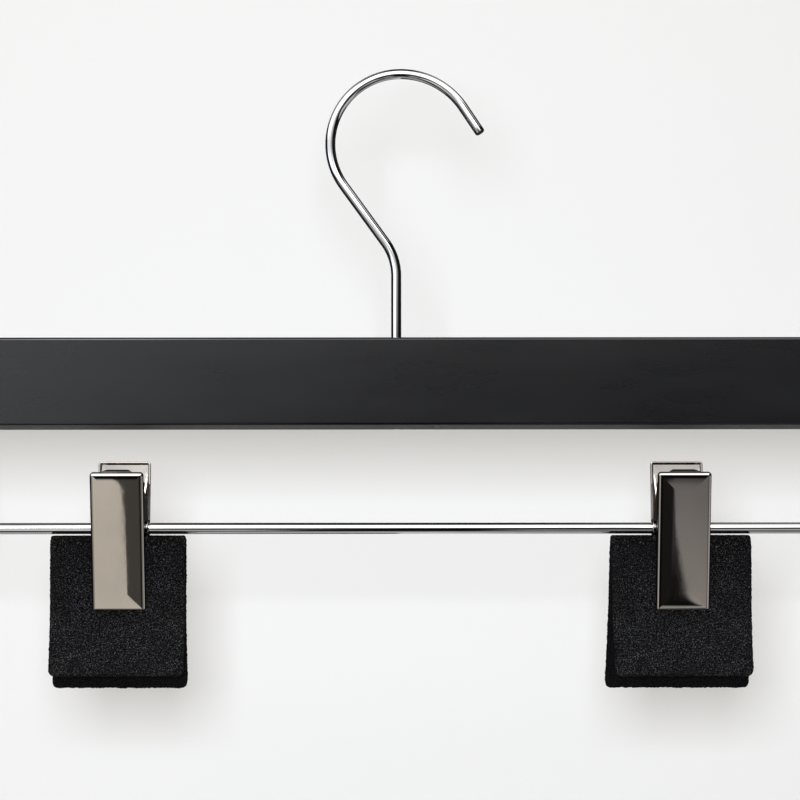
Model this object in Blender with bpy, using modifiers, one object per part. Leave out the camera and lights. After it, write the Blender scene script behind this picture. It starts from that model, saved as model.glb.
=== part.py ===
"""Trouser hanger: swivel hook, plain bar, wire rail and two sliding sprung clips.

Metres, +Z up. The origin is on the inside of the hook's crown, above the shank,
where a wardrobe rail holds the hanger up. X runs along the bar, and -Y is the
front, where the clips' shorter handles are.
"""
import math

import bmesh
import bpy
from mathutils import Matrix, Vector

MM = 0.001

# Wire that the hook is bent from
WIRE_RADIUS = 1.9 * MM
WIRE_END_ROUNDING = 0.35 * MM
WIRE_FACETS = 4

# Hook
HOOK_INNER_RADIUS = 24.6 * MM
HOOK_TIP_ARC_RADIUS = 28.5 * MM
HOOK_CROWN_OFFSET = 1.7 * MM
HOOK_DIAGONAL_DEG = 53.9
HOOK_TIP_DEG = 56.0
HOOK_TIP_LENGTH = 12.0 * MM
HOOK_CORNER_RADIUS = 21.6 * MM

# Bar
BAR_LENGTH = 380.0 * MM
BAR_THICKNESS = 12.0 * MM
BAR_TOP_DROP = 97.5 * MM
BAR_HEIGHT = 34.6 * MM
BAR_ROUNDING = 0.7 * MM
BAR_CHAMFER = 2.1 * MM
HOOK_HOLE_CLEARANCE = 0.1 * MM
COUNTERBORE_RADIUS = 3.75 * MM
COUNTERBORE_DEPTH = 8.0 * MM

# Swivel washer and the head upset on the shank's end
WASHER_MARGIN = 0.25 * MM
WASHER_THICKNESS = 0.8 * MM
WASHER_GAP = 0.15 * MM
SHANK_HEAD_RADIUS = 2.9 * MM
SHANK_HEAD_HEIGHT = 1.6 * MM

# Wire rail under the bar
RAIL_RADIUS = 2.1 * MM
RAIL_DROP = 37.3 * MM
RAIL_END_INSET = 18.0 * MM
RAIL_BEND_RADIUS = 8.0 * MM
RAIL_SOCKET_DEPTH = 12.0 * MM
RAIL_SOCKET_CLEARANCE = 0.1 * MM
RAIL_END_GAP = 0.3 * MM

# Clips
LEFT_CLIP_INSET = 68.0 * MM
RIGHT_CLIP_INSET = 64.8 * MM
JAW_WIDTH = 20.0 * MM
JAW_SHEET = 0.8 * MM
JAW_FACE_OFFSET = 10.32 * MM
JAW_TIP_REACH = 28.74 * MM
JAW_TIP_SPREAD = 6.2 * MM
FRONT_HANDLE_REACH = 23.47 * MM
REAR_HANDLE_REACH = 26.3 * MM
JAW_RIM_DEPTH = 2.3 * MM
JAW_BEND_RADIUS = 1.3 * MM
JAW_TIP_BEND_RADIUS = 0.7 * MM
EAR_RADIUS = 4.7 * MM
EAR_GAP = 0.3 * MM
EAR_LOWER_REACH = 5.5 * MM
EAR_UPPER_REACH = 21.5 * MM
EAR_FLUSH = 0.05 * MM
TONGUE_BASE_WIDTH = 11.4 * MM
TONGUE_TIP_WIDTH = 8.0 * MM
TONGUE_DEPTH = 5.2 * MM

# Flared pivot tube that the jaws turn on and the rail runs through
TUBE_BORE_CLEARANCE = 0.1 * MM
TUBE_WALL = 0.5 * MM
TUBE_EAR_CLEARANCE = 0.1 * MM
FLARE_WIDTH = 0.8 * MM
FLARE_THICKNESS = 0.6 * MM
FLARE_ROUNDING = 0.2 * MM
FLARE_GAP = 0.15 * MM

# Torsion spring
SPRING_WIRE_RADIUS = 0.55 * MM
SPRING_TUBE_CLEARANCE = 0.5 * MM
SPRING_PITCH = 1.7 * MM
SPRING_WINDINGS = 6
SPRING_POINTS_PER_TURN = 10
SPRING_LEG_REACH = 15.0 * MM
SPRING_LEG_GAP = 0.3 * MM

# Folded foam pads
LEFT_PAD_WIDTH = 50.4 * MM
RIGHT_PAD_WIDTH = 52.4 * MM
LEFT_PAD_SHIFT = -0.8 * MM
RIGHT_PAD_SHIFT = -0.1 * MM
PAD_RAIL_GAP = 0.5 * MM
PAD_FRONT_LENGTH = 52.4 * MM
PAD_REAR_LENGTH = 58.1 * MM
PAD_THICKNESS = 4.0 * MM
PAD_PINCH_THICKNESS = 3.4 * MM
PAD_PINCH_REACH = 9.0 * MM
PAD_FOLD_GAP = 0.3 * MM
PAD_JAW_GAP = 0.3 * MM
PAD_SPLAY = 9.5 * MM
PAD_CORNER_RADIUS = 2.2 * MM
PAD_EDGE_ROUNDING = 0.7 * MM
PAD_NOTCH_MARGIN = 0.3 * MM
PAD_NOTCH_DEPTH = 3.5 * MM
PAD_NOTCH_ROUNDING = 1.0 * MM
PAD_BEND_STEPS = 14

# Derived sizes and places
HOOK_WIRE_LINE = HOOK_INNER_RADIUS + WIRE_RADIUS
CROWN_Z = HOOK_WIRE_LINE - math.sqrt(HOOK_INNER_RADIUS ** 2 - HOOK_CROWN_OFFSET ** 2)
BAR_BOTTOM_Z = -BAR_TOP_DROP - BAR_HEIGHT
COUNTERBORE_Z = BAR_BOTTOM_Z + COUNTERBORE_DEPTH
WASHER_TOP_Z = COUNTERBORE_Z - WASHER_GAP
HEAD_TOP_Z = WASHER_TOP_Z - WASHER_THICKNESS - WASHER_GAP
RAIL_Z = BAR_BOTTOM_Z - RAIL_DROP
RAIL_HALF_SPAN = BAR_LENGTH / 2.0 - RAIL_END_INSET
LEFT_CLIP_X = LEFT_CLIP_INSET - RAIL_HALF_SPAN
RIGHT_CLIP_X = RAIL_HALF_SPAN - RIGHT_CLIP_INSET
JAW_TIP_RADIUS = math.hypot(JAW_FACE_OFFSET, JAW_TIP_REACH)
JAW_TILT = math.acos(JAW_TIP_SPREAD / JAW_TIP_RADIUS) - math.atan2(JAW_TIP_REACH, JAW_FACE_OFFSET)
TUBE_INNER_RADIUS = RAIL_RADIUS + TUBE_BORE_CLEARANCE
TUBE_OUTER_RADIUS = TUBE_INNER_RADIUS + TUBE_WALL
FLARE_RADIUS = TUBE_OUTER_RADIUS + FLARE_WIDTH
FLARE_START = JAW_WIDTH / 2.0 + FLARE_GAP
FLARE_END = FLARE_START + FLARE_THICKNESS
SPRING_COIL_RADIUS = TUBE_OUTER_RADIUS + SPRING_TUBE_CLEARANCE + SPRING_WIRE_RADIUS
PAD_TOP_DROP = RAIL_RADIUS + PAD_RAIL_GAP

# Rotations that lay a flat outline on edge across the rail, and a turned piece along it
ON_EDGE = (math.pi / 2.0, 0.0, math.pi / 2.0)
ALONG_RAIL = (0.0, math.pi / 2.0, 0.0)


def clear_scene():
    """Remove whatever the start-up file holds."""
    for item in list(bpy.data.objects):
        bpy.data.objects.remove(item, do_unlink=True)


def collection(name):
    """Make a collection in the scene."""
    made = bpy.data.collections.new(name)
    bpy.context.scene.collection.children.link(made)
    return made


def finish(name, colour, metallic, roughness):
    """Make one Principled material."""
    material = bpy.data.materials.new(name)
    material.use_nodes = True
    shader = material.node_tree.nodes["Principled BSDF"]
    shader.inputs["Base Color"].default_value = (*colour, 1.0)
    shader.inputs["Metallic"].default_value = metallic
    shader.inputs["Roughness"].default_value = roughness
    return material


def chrome(name):
    """Bright plated wire."""
    return finish(name, (0.78, 0.78, 0.80), 1.0, 0.08)


def nickel(name):
    """Dark plated sheet."""
    return finish(name, (0.42, 0.41, 0.40), 1.0, 0.14)


def steel(name):
    """Plain spring and washer steel."""
    return finish(name, (0.55, 0.55, 0.56), 1.0, 0.30)


def plastic(name):
    """Satin moulded bar."""
    return finish(name, (0.035, 0.036, 0.040), 0.0, 0.35)


def foam(name):
    """Matt foam."""
    return finish(name, (0.030, 0.030, 0.033), 0.0, 0.95)


def add_object(name, data, home, material=None, parent=None):
    """Put a data block in the scene, in a collection and under a parent."""
    made = bpy.data.objects.new(name, data)
    home.objects.link(made)
    made.parent = parent
    if material is not None:
        data.materials.append(material)
    return made


def pivot(name, place, home, parent=None, turn=0.0):
    """An empty on a joint's axis that carries what turns there."""
    made = bpy.data.objects.new(name, None)
    home.objects.link(made)
    made.empty_display_size = 5.0 * MM
    made.parent = parent
    made.location = place
    made.rotation_euler = (0.0, 0.0, turn)
    return made


def mesh_of(name, built):
    """Turn a bmesh into a smooth shaded mesh and free it."""
    mesh = bpy.data.meshes.new(name)
    built.to_mesh(mesh)
    built.free()
    mesh.shade_smooth()
    mesh.set_sharp_from_angle(angle=math.radians(35.0))
    return mesh


def block(name, size, centre, home, material=None, parent=None):
    """A box of a given size, about a centre."""
    built = bmesh.new()
    bmesh.ops.create_cube(built, size=1.0,
                          matrix=Matrix.Translation(centre) @ Matrix.Diagonal((*size, 1.0)))
    return add_object(name, mesh_of(name, built), home, material, parent)


def round_cutter(name, radius, length, place, home, parent=None, rotation=(0.0, 0.0, 0.0)):
    """A cylinder about a place, for a hole."""
    built = bmesh.new()
    bmesh.ops.create_cone(built, cap_ends=True, segments=32, radius1=radius, radius2=radius,
                          depth=length)
    made = add_object(name, mesh_of(name, built), home, None, parent)
    made.location = place
    made.rotation_euler = rotation
    return as_tool(made)


def turned(name, profile, home, material, parent, rotation=(0.0, 0.0, 0.0)):
    """A closed (radius, height) profile turned round its own Z axis."""
    built = bmesh.new()
    ring = [built.verts.new((radius, 0.0, height)) for radius, height in profile]
    for index, vertex in enumerate(ring):
        built.edges.new((vertex, ring[(index + 1) % len(ring)]))
    made = add_object(name, mesh_of(name, built), home, material, parent)
    made.rotation_euler = rotation
    screw = made.modifiers.new("turn", "SCREW")
    screw.angle = 2.0 * math.pi
    screw.steps = 32
    screw.render_steps = 32
    screw.use_merge_vertices = True
    screw.merge_threshold = 0.01 * MM
    screw.use_smooth_shade = True
    return made


def wire(name, points, radius, resolution, home, material, parent, scales=None):
    """A round wire along the points, capped at both ends."""
    curve = bpy.data.curves.new(name, "CURVE")
    curve.dimensions = "3D"
    curve.bevel_depth = radius
    curve.bevel_resolution = resolution
    curve.use_fill_caps = True
    spline = curve.splines.new("POLY")
    spline.points.add(len(points) - 1)
    spline.use_smooth = True
    for index, point in enumerate(spline.points):
        point.co = (*points[index], 1.0)
        point.radius = scales[index] if scales else 1.0
    return add_object(name, curve, home, material, parent)


def flat_mesh(name, outline, thickness, home):
    """A flat outline of a given thickness, as one welded mesh about Z = 0."""
    curve = bpy.data.curves.new(name, "CURVE")
    curve.dimensions = "2D"
    curve.fill_mode = "BOTH"
    curve.extrude = thickness / 2.0
    spline = curve.splines.new("POLY")
    spline.points.add(len(outline) - 1)
    spline.use_cyclic_u = True
    for point, (first, second) in zip(spline.points, outline):
        point.co = (first, second, 0.0, 1.0)
    carrier = add_object(name + "_outline", curve, home)
    bpy.context.view_layer.update()
    evaluated = carrier.evaluated_get(bpy.context.evaluated_depsgraph_get())
    mesh = bpy.data.meshes.new_from_object(evaluated)
    bpy.data.objects.remove(carrier, do_unlink=True)
    built = bmesh.new()
    built.from_mesh(mesh)
    bpy.data.meshes.remove(mesh)
    bmesh.ops.remove_doubles(built, verts=built.verts, dist=0.01 * MM)
    bmesh.ops.recalc_face_normals(built, faces=built.faces)
    return built


def as_tool(item):
    """Keep a Boolean operand out of sight."""
    item.hide_render = True
    item.display_type = "WIRE"
    return item


def combine(target, operand, operation):
    """Join an operand to a target, or cut it away."""
    modifier = target.modifiers.new(operand.name, "BOOLEAN")
    modifier.solver = "EXACT"
    modifier.operation = operation
    modifier.object = operand


def round_edges(target, width, segments, angle_deg):
    """Round the edges that are sharper than an angle."""
    modifier = target.modifiers.new("rounding", "BEVEL")
    modifier.width = width
    modifier.segments = segments
    modifier.limit_method = "ANGLE"
    modifier.angle_limit = math.radians(angle_deg)


def even_shading(target):
    """Keep flat faces flat in their shading beside rounded edges and cuts."""
    modifier = target.modifiers.new("shading", "WEIGHTED_NORMAL")
    modifier.keep_sharp = True


def weigh_edges(mesh, weight_of):
    """Give each edge the Bevel weight that a function of its two ends returns."""
    layer = mesh.attributes.new("bevel_weight_edge", "FLOAT", "EDGE")
    for edge in mesh.edges:
        first, second = (mesh.vertices[index].co for index in edge.vertices)
        layer.data[edge.index].value = weight_of(first, second)


def arc(centre, radius, start_deg, end_deg, steps):
    """Points of an arc in the XZ plane."""
    points = []
    for index in range(steps + 1):
        angle = math.radians(start_deg + (end_deg - start_deg) * index / steps)
        points.append(centre + Vector((math.cos(angle), 0.0, math.sin(angle))) * radius)
    return points


# Hook

def hook_line():
    """The wire's middle line from the tip to the upset head, with its relative thickness."""
    tip_centre = Vector((HOOK_CROWN_OFFSET, 0.0, CROWN_Z - HOOK_TIP_ARC_RADIUS))
    main_centre = Vector((HOOK_CROWN_OFFSET, 0.0, CROWN_Z - HOOK_WIRE_LINE))
    tip_arc = arc(tip_centre, HOOK_TIP_ARC_RADIUS, 90.0 - HOOK_TIP_DEG, 90.0, 10)
    slope = math.radians(HOOK_TIP_DEG)
    outward = Vector((math.cos(slope), 0.0, -math.sin(slope)))
    tip = tip_arc[0] + outward * HOOK_TIP_LENGTH
    points = [tip, tip - outward * WIRE_END_ROUNDING]
    points += tip_arc
    points += arc(main_centre, HOOK_WIRE_LINE, 90.0, 270.0 - HOOK_DIAGONAL_DEG, 24)[1:]
    corner_z = points[-1].z + points[-1].x * math.tan(math.radians(HOOK_DIAGONAL_DEG))
    turn = 90.0 - HOOK_DIAGONAL_DEG
    reach = HOOK_CORNER_RADIUS * math.tan(math.radians(turn / 2.0))
    bend_centre = Vector((-HOOK_CORNER_RADIUS, 0.0, corner_z - reach))
    points += arc(bend_centre, HOOK_CORNER_RADIUS, turn, 0.0, 6)
    head_end = HEAD_TOP_Z - SHANK_HEAD_HEIGHT
    for level in (HEAD_TOP_Z, HEAD_TOP_Z - WIRE_END_ROUNDING, head_end + WIRE_END_ROUNDING,
                  head_end):
        points.append(Vector((0.0, 0.0, level)))
    scales = [1.0] * len(points)
    scales[0] = 1.0 - WIRE_END_ROUNDING / WIRE_RADIUS
    head = SHANK_HEAD_RADIUS / WIRE_RADIUS
    scales[-3:] = [head, head, head - WIRE_END_ROUNDING / WIRE_RADIUS]
    return points, scales


def build_hook(home, parent):
    """The swivelling hook, and the washer that its head bears on."""
    points, scales = hook_line()
    wire("hook", points, WIRE_RADIUS, WIRE_FACETS, home, chrome("hook"), parent, scales)
    inner = WIRE_RADIUS + HOOK_HOLE_CLEARANCE
    outer = COUNTERBORE_RADIUS - WASHER_MARGIN
    low = WASHER_TOP_Z - WASHER_THICKNESS
    turned("hook_washer", [(outer, WASHER_TOP_Z), (outer, low), (inner, low),
                           (inner, WASHER_TOP_Z)], home, steel("hook_washer"), parent)


# Bar and rail

def build_bar(home, tools, parent):
    """The bar with its hook hole, the counterbore below and the rail's sockets."""
    top = parent.location.z
    middle = BAR_BOTTOM_Z + BAR_HEIGHT / 2.0 - top
    bar = block("bar", (BAR_LENGTH, BAR_THICKNESS, BAR_HEIGHT), (0.0, 0.0, middle), home,
                plastic("bar"), parent)
    weigh_edges(bar.data, lambda first, second: float(
        max(first.z, second.z) < middle and abs(first.x - second.x) > BAR_HEIGHT))
    chamfer = bar.modifiers.new("chamfer", "BEVEL")
    chamfer.width = BAR_CHAMFER
    chamfer.segments = 1
    chamfer.limit_method = "WEIGHT"
    round_edges(bar, BAR_ROUNDING, 3, 60.0)
    through = BAR_HEIGHT + 2.0 * COUNTERBORE_DEPTH
    hole = round_cutter("hook_hole", WIRE_RADIUS + HOOK_HOLE_CLEARANCE, through,
                        (0.0, 0.0, middle), tools, parent)
    combine(bar, hole, "DIFFERENCE")
    bore = round_cutter("counterbore", COUNTERBORE_RADIUS, 2.0 * COUNTERBORE_DEPTH,
                        (0.0, 0.0, BAR_BOTTOM_Z - top), tools, parent)
    combine(bar, bore, "DIFFERENCE")
    for hand, sign in (("left", -1.0), ("right", 1.0)):
        socket = round_cutter(hand + "_socket", RAIL_RADIUS + RAIL_SOCKET_CLEARANCE,
                              2.0 * RAIL_SOCKET_DEPTH,
                              (sign * RAIL_HALF_SPAN, 0.0, BAR_BOTTOM_Z - top), tools, parent)
        combine(bar, socket, "DIFFERENCE")
    even_shading(bar)


def build_rail(home, parent):
    """Wire rail, bent up at both ends into the bar."""
    lift = -parent.location.z
    end = BAR_BOTTOM_Z + RAIL_SOCKET_DEPTH - RAIL_END_GAP + lift
    inset = RAIL_HALF_SPAN - RAIL_BEND_RADIUS
    level = RAIL_Z + RAIL_BEND_RADIUS + lift
    points = [Vector((-RAIL_HALF_SPAN, 0.0, end))]
    points += arc(Vector((-inset, 0.0, level)), RAIL_BEND_RADIUS, 180.0, 270.0, 8)
    points += arc(Vector((inset, 0.0, level)), RAIL_BEND_RADIUS, 270.0, 360.0, 8)
    points.append(Vector((RAIL_HALF_SPAN, 0.0, end)))
    wire("clip_rod", points, RAIL_RADIUS, WIRE_FACETS, home, chrome("clip_rod"), parent)


# Jaws

def ear_outline(base):
    """An ear from its base line on the plate round the pivot, as (inward, up) points."""
    top = Vector((base, EAR_UPPER_REACH))
    low = Vector((base, -EAR_LOWER_REACH))
    start = math.atan2(low.y, low.x) + math.acos(EAR_RADIUS / low.length)
    end = math.atan2(top.y, top.x) - math.acos(EAR_RADIUS / top.length)
    steps = 14
    points = [tuple(low)]
    for index in range(steps + 1):
        angle = start + (end - start) * index / steps
        points.append((EAR_RADIUS * math.cos(angle), EAR_RADIUS * math.sin(angle)))
    points.append(tuple(top))
    return points


def build_jaw(name, handle, ear_inset, with_tongue, home, tools, arm):
    """One stamped jaw: a pan with two ears, and on the front jaw a tongue."""
    height = handle + JAW_TIP_REACH
    jaw = block(name, (JAW_WIDTH, JAW_RIM_DEPTH, height),
                (0.0, JAW_RIM_DEPTH / 2.0 - JAW_FACE_OFFSET, handle - height / 2.0), home,
                nickel(name), arm)
    jaw.rotation_euler = (JAW_TILT, 0.0, 0.0)
    built = bmesh.new()
    built.from_mesh(jaw.data)
    mouth = [face for face in built.faces if face.normal.y > 0.9]
    bmesh.ops.delete(built, geom=mouth, context="FACES_ONLY")
    built.to_mesh(jaw.data)
    built.free()
    tip_share = JAW_TIP_BEND_RADIUS / JAW_BEND_RADIUS
    rim_line = JAW_RIM_DEPTH - JAW_FACE_OFFSET - EAR_FLUSH

    def bend_weight(first, second):
        if min(first.y, second.y) > rim_line:
            return 0.0
        return tip_share if max(first.z, second.z) < 0.0 else 1.0

    weigh_edges(jaw.data, bend_weight)
    bend = jaw.modifiers.new("bend", "BEVEL")
    bend.width = JAW_BEND_RADIUS
    bend.segments = 3
    bend.limit_method = "WEIGHT"
    sheet = jaw.modifiers.new("sheet", "SOLIDIFY")
    sheet.thickness = JAW_SHEET
    sheet.offset = -1.0
    sheet.use_even_offset = True
    outer = JAW_WIDTH / 2.0 - EAR_FLUSH - ear_inset
    base = JAW_BEND_RADIUS if ear_inset == 0.0 else JAW_SHEET / 2.0
    outline = ear_outline(base - JAW_FACE_OFFSET)
    for hand, sign in (("_left", -1.0), ("_right", 1.0)):
        shape = flat_mesh(name + hand, outline, JAW_SHEET, tools)
        ear = as_tool(add_object(name + hand + "_ear", mesh_of(name + hand, shape), tools,
                                 None, jaw))
        ear.location = (sign * (outer - JAW_SHEET / 2.0), 0.0, 0.0)
        ear.rotation_euler = ON_EDGE
        combine(jaw, ear, "UNION")
    if with_tongue:
        root = JAW_BEND_RADIUS - JAW_FACE_OFFSET
        tip = TONGUE_DEPTH - JAW_FACE_OFFSET
        outline = [(-TONGUE_BASE_WIDTH / 2.0, root), (TONGUE_BASE_WIDTH / 2.0, root),
                   (TONGUE_TIP_WIDTH / 2.0, tip), (-TONGUE_TIP_WIDTH / 2.0, tip)]
        shape = flat_mesh(name + "_tongue", outline, JAW_SHEET, tools)
        tongue = as_tool(add_object(name + "_tongue", mesh_of(name + "_tongue", shape), tools,
                                    None, jaw))
        tongue.location = (0.0, 0.0, handle - EAR_FLUSH - JAW_SHEET / 2.0)
        combine(jaw, tongue, "UNION")
    hole = round_cutter(name + "_hole", TUBE_OUTER_RADIUS + TUBE_EAR_CLEARANCE,
                        1.2 * JAW_WIDTH, (0.0, 0.0, 0.0), tools, jaw, ALONG_RAIL)
    combine(jaw, hole, "DIFFERENCE")
    even_shading(jaw)


# Pivot tube and spring

def build_tube(name, home, parent):
    """Tube through all four ears, flared over at both ends."""
    lip = FLARE_RADIUS - FLARE_ROUNDING
    soft_end = FLARE_END - FLARE_ROUNDING
    profile = [(lip, FLARE_END), (FLARE_RADIUS, soft_end), (FLARE_RADIUS, FLARE_START),
               (TUBE_OUTER_RADIUS, FLARE_START), (TUBE_OUTER_RADIUS, -FLARE_START),
               (FLARE_RADIUS, -FLARE_START), (FLARE_RADIUS, -soft_end), (lip, -FLARE_END),
               (TUBE_INNER_RADIUS, -FLARE_END), (TUBE_INNER_RADIUS, FLARE_END)]
    turned(name, profile, home, nickel(name), parent, ALONG_RAIL)


def leg_end(side):
    """Where a spring leg bears inside a handle, as (Y, Z) about the pivot."""
    inward = JAW_SHEET + SPRING_LEG_GAP + SPRING_WIRE_RADIUS - JAW_FACE_OFFSET
    depth = inward * math.cos(JAW_TILT) - SPRING_LEG_REACH * math.sin(JAW_TILT)
    rise = inward * math.sin(JAW_TILT) + SPRING_LEG_REACH * math.cos(JAW_TILT)
    return -side * depth, rise


def spring_line():
    """The spring's middle line: front leg, coil round the tube, rear leg."""
    front = Vector((0.0, *leg_end(-1.0)))
    rear = Vector((0.0, *leg_end(1.0)))
    lean = math.acos(SPRING_COIL_RADIUS / front.length)
    start = math.atan2(front.z, front.y) + lean
    finish_angle = math.atan2(rear.z, rear.y) - lean + 2.0 * math.pi * SPRING_WINDINGS
    turns = (finish_angle - start) / (2.0 * math.pi)
    half = turns * SPRING_PITCH / 2.0
    steps = round(turns * SPRING_POINTS_PER_TURN)
    coil = []
    for index in range(steps + 1):
        share = index / steps
        angle = start + (finish_angle - start) * share
        coil.append(Vector((half * (2.0 * share - 1.0), SPRING_COIL_RADIUS * math.cos(angle),
                            SPRING_COIL_RADIUS * math.sin(angle))))
    front.x = -half
    rear.x = half
    return front, coil, rear


def least_gap(coil):
    """Least free distance between one turn of the coil and the next."""
    least = math.inf
    skip = SPRING_POINTS_PER_TURN // 2
    for index, here in enumerate(coil):
        for there in coil[index + skip:]:
            least = min(least, (here - there).length)
    return least - 2.0 * SPRING_WIRE_RADIUS


def build_spring(name, home, parent):
    """Torsion spring round the tube, with one straight leg inside each handle."""
    front, coil, rear = spring_line()
    print(name, "least gap between turns, mm:", round(least_gap(coil) / MM, 3))
    points = [front, front.lerp(coil[0], 0.5)] + coil + [rear.lerp(coil[-1], 0.5), rear]
    wire(name, points, SPRING_WIRE_RADIUS, 1, home, steel(name), parent)


# Foam pads

def ease(value, low, high):
    """Go smoothly from 0 at low to 1 at high."""
    share = min(max((value - low) / (high - low), 0.0), 1.0)
    return share * share * (3.0 - 2.0 * share)


def jaw_tip_face():
    """Distance of the jaw tips' inner edges from the clip's middle plane."""
    inward = JAW_RIM_DEPTH - JAW_FACE_OFFSET
    return -(inward * math.cos(JAW_TILT) + JAW_TIP_REACH * math.sin(JAW_TILT))


def pad_face(drop):
    """Distance of a flap's outer face from the clip's middle plane, at a drop."""
    fold = PAD_FOLD_GAP / 2.0 + PAD_THICKNESS
    pinch = jaw_tip_face() - PAD_JAW_GAP
    if drop <= JAW_TIP_REACH:
        return fold + (pinch - fold) * ease(drop, 0.6 * JAW_TIP_REACH, JAW_TIP_REACH)
    share = (drop - JAW_TIP_REACH) / (PAD_REAR_LENGTH + PAD_TOP_DROP - JAW_TIP_REACH)
    return pinch + (PAD_SPLAY - pinch) * share * share * (1.6 - 0.6 * share)


def pad_thickness(drop):
    """Foam thickness at a drop, less where the jaw tips squeeze it."""
    near = 1.0 - ease(abs(drop - JAW_TIP_REACH), 0.0, PAD_PINCH_REACH)
    return PAD_THICKNESS + (PAD_PINCH_THICKNESS - PAD_THICKNESS) * near


def pad_outline(width, length, shift):
    """A flap's outline as (x, height) points, with a notch round the clip's middle at its top."""
    half = width / 2.0
    top = -PAD_TOP_DROP
    bottom = top - length
    notch = top - PAD_NOTCH_DEPTH
    inner = FLARE_END + PAD_NOTCH_MARGIN
    soft = PAD_NOTCH_ROUNDING
    points = []

    def corner(x, height, start_deg):
        for index in range(4):
            angle = math.radians(start_deg + 30.0 * index)
            points.append((x + PAD_CORNER_RADIUS * math.cos(angle),
                           height + PAD_CORNER_RADIUS * math.sin(angle)))

    corner(half - PAD_CORNER_RADIUS, top - PAD_CORNER_RADIUS, 0.0)
    right = inner - shift
    left = -inner - shift
    points += [(right + soft, top), (right, top - soft), (right, notch + soft),
               (right - soft, notch)]
    points += [(left + soft, notch), (left, notch + soft), (left, top - soft),
               (left - soft, top)]
    corner(PAD_CORNER_RADIUS - half, top - PAD_CORNER_RADIUS, 90.0)
    corner(PAD_CORNER_RADIUS - half, bottom + PAD_CORNER_RADIUS, 180.0)
    corner(half - PAD_CORNER_RADIUS, bottom + PAD_CORNER_RADIUS, 270.0)
    return points


def build_pad(name, width, length, shift, home, tools, arm):
    """One flap of a folded pad, bent to the shape that it hangs in."""
    built = flat_mesh(name, pad_outline(width, length, shift), PAD_THICKNESS, tools)
    lowest = PAD_TOP_DROP + length - PAD_CORNER_RADIUS
    highest = PAD_TOP_DROP + PAD_NOTCH_DEPTH
    for index in range(1, PAD_BEND_STEPS):
        drop = highest + (lowest - highest) * index / PAD_BEND_STEPS
        geometry = built.verts[:] + built.edges[:] + built.faces[:]
        bmesh.ops.bisect_plane(built, geom=geometry, dist=0.001 * MM,
                               plane_co=(0.0, -drop, 0.0), plane_no=(0.0, 1.0, 0.0))
    for vertex in built.verts:
        across, height, layer = vertex.co
        share = layer / PAD_THICKNESS + 0.5
        depth = pad_face(-height) - share * pad_thickness(-height)
        vertex.co = (across + shift, -depth, height)
    bmesh.ops.recalc_face_normals(built, faces=built.faces)
    if built.calc_volume(signed=True) < 0.0:
        bmesh.ops.reverse_faces(built, faces=built.faces)
    pad = add_object(name, mesh_of(name, built), home, foam(name), arm)
    round_edges(pad, PAD_EDGE_ROUNDING, 2, 60.0)
    even_shading(pad)


def build_clip(hand, clip_x, pad_width, pad_shift, home, tools, swivel):
    """One clip on its pivot: tube, spring, two jaws and the two flaps of its pad."""
    place = (clip_x, 0.0, RAIL_Z - swivel.location.z)
    carrier = pivot(hand + "_clip_pivot", place, tools, swivel)
    front = pivot(hand + "_front_arm", (0.0, 0.0, 0.0), tools, carrier)
    rear = pivot(hand + "_rear_arm", (0.0, 0.0, 0.0), tools, carrier, math.pi)
    build_tube(hand + "_pivot_tube", home, carrier)
    build_spring(hand + "_spring", home, carrier)
    build_jaw(hand + "_front_jaw", FRONT_HANDLE_REACH, 0.0, True, home, tools, front)
    build_jaw(hand + "_rear_jaw", REAR_HANDLE_REACH, JAW_SHEET + EAR_GAP, False, home,
              tools, rear)
    build_pad(hand + "_front_pad", pad_width, PAD_FRONT_LENGTH, pad_shift, home, tools, front)
    build_pad(hand + "_rear_pad", pad_width, PAD_REAR_LENGTH, -pad_shift, home, tools, rear)


def main():
    """Build every piece of the hanger."""
    clear_scene()
    home = collection("trouser_hanger")
    tools = collection("shaping_tools")
    seat = pivot("hook_seat", (0.0, 0.0, 0.0), tools)
    swivel = pivot("bar_swivel", (0.0, 0.0, -BAR_TOP_DROP), tools, seat)
    build_hook(home, seat)
    build_bar(home, tools, swivel)
    build_rail(home, swivel)
    build_clip("left", LEFT_CLIP_X, LEFT_PAD_WIDTH, LEFT_PAD_SHIFT, home, tools, swivel)
    build_clip("right", RIGHT_CLIP_X, RIGHT_PAD_WIDTH, RIGHT_PAD_SHIFT, home, tools, swivel)
    bpy.context.view_layer.update()


main()
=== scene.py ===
"""Looks of a trouser hanger: swivel hook, bar, wire rail and two sprung clips with foam pads.

Metres, +Z up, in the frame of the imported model. The front is -Y.
"""

import logging
import math
from collections.abc import Sequence
from dataclasses import dataclass
from enum import Enum
from functools import cached_property
from itertools import product

import bmesh
import bpy
import numpy as np
from mathutils import Matrix, Vector, noise


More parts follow.
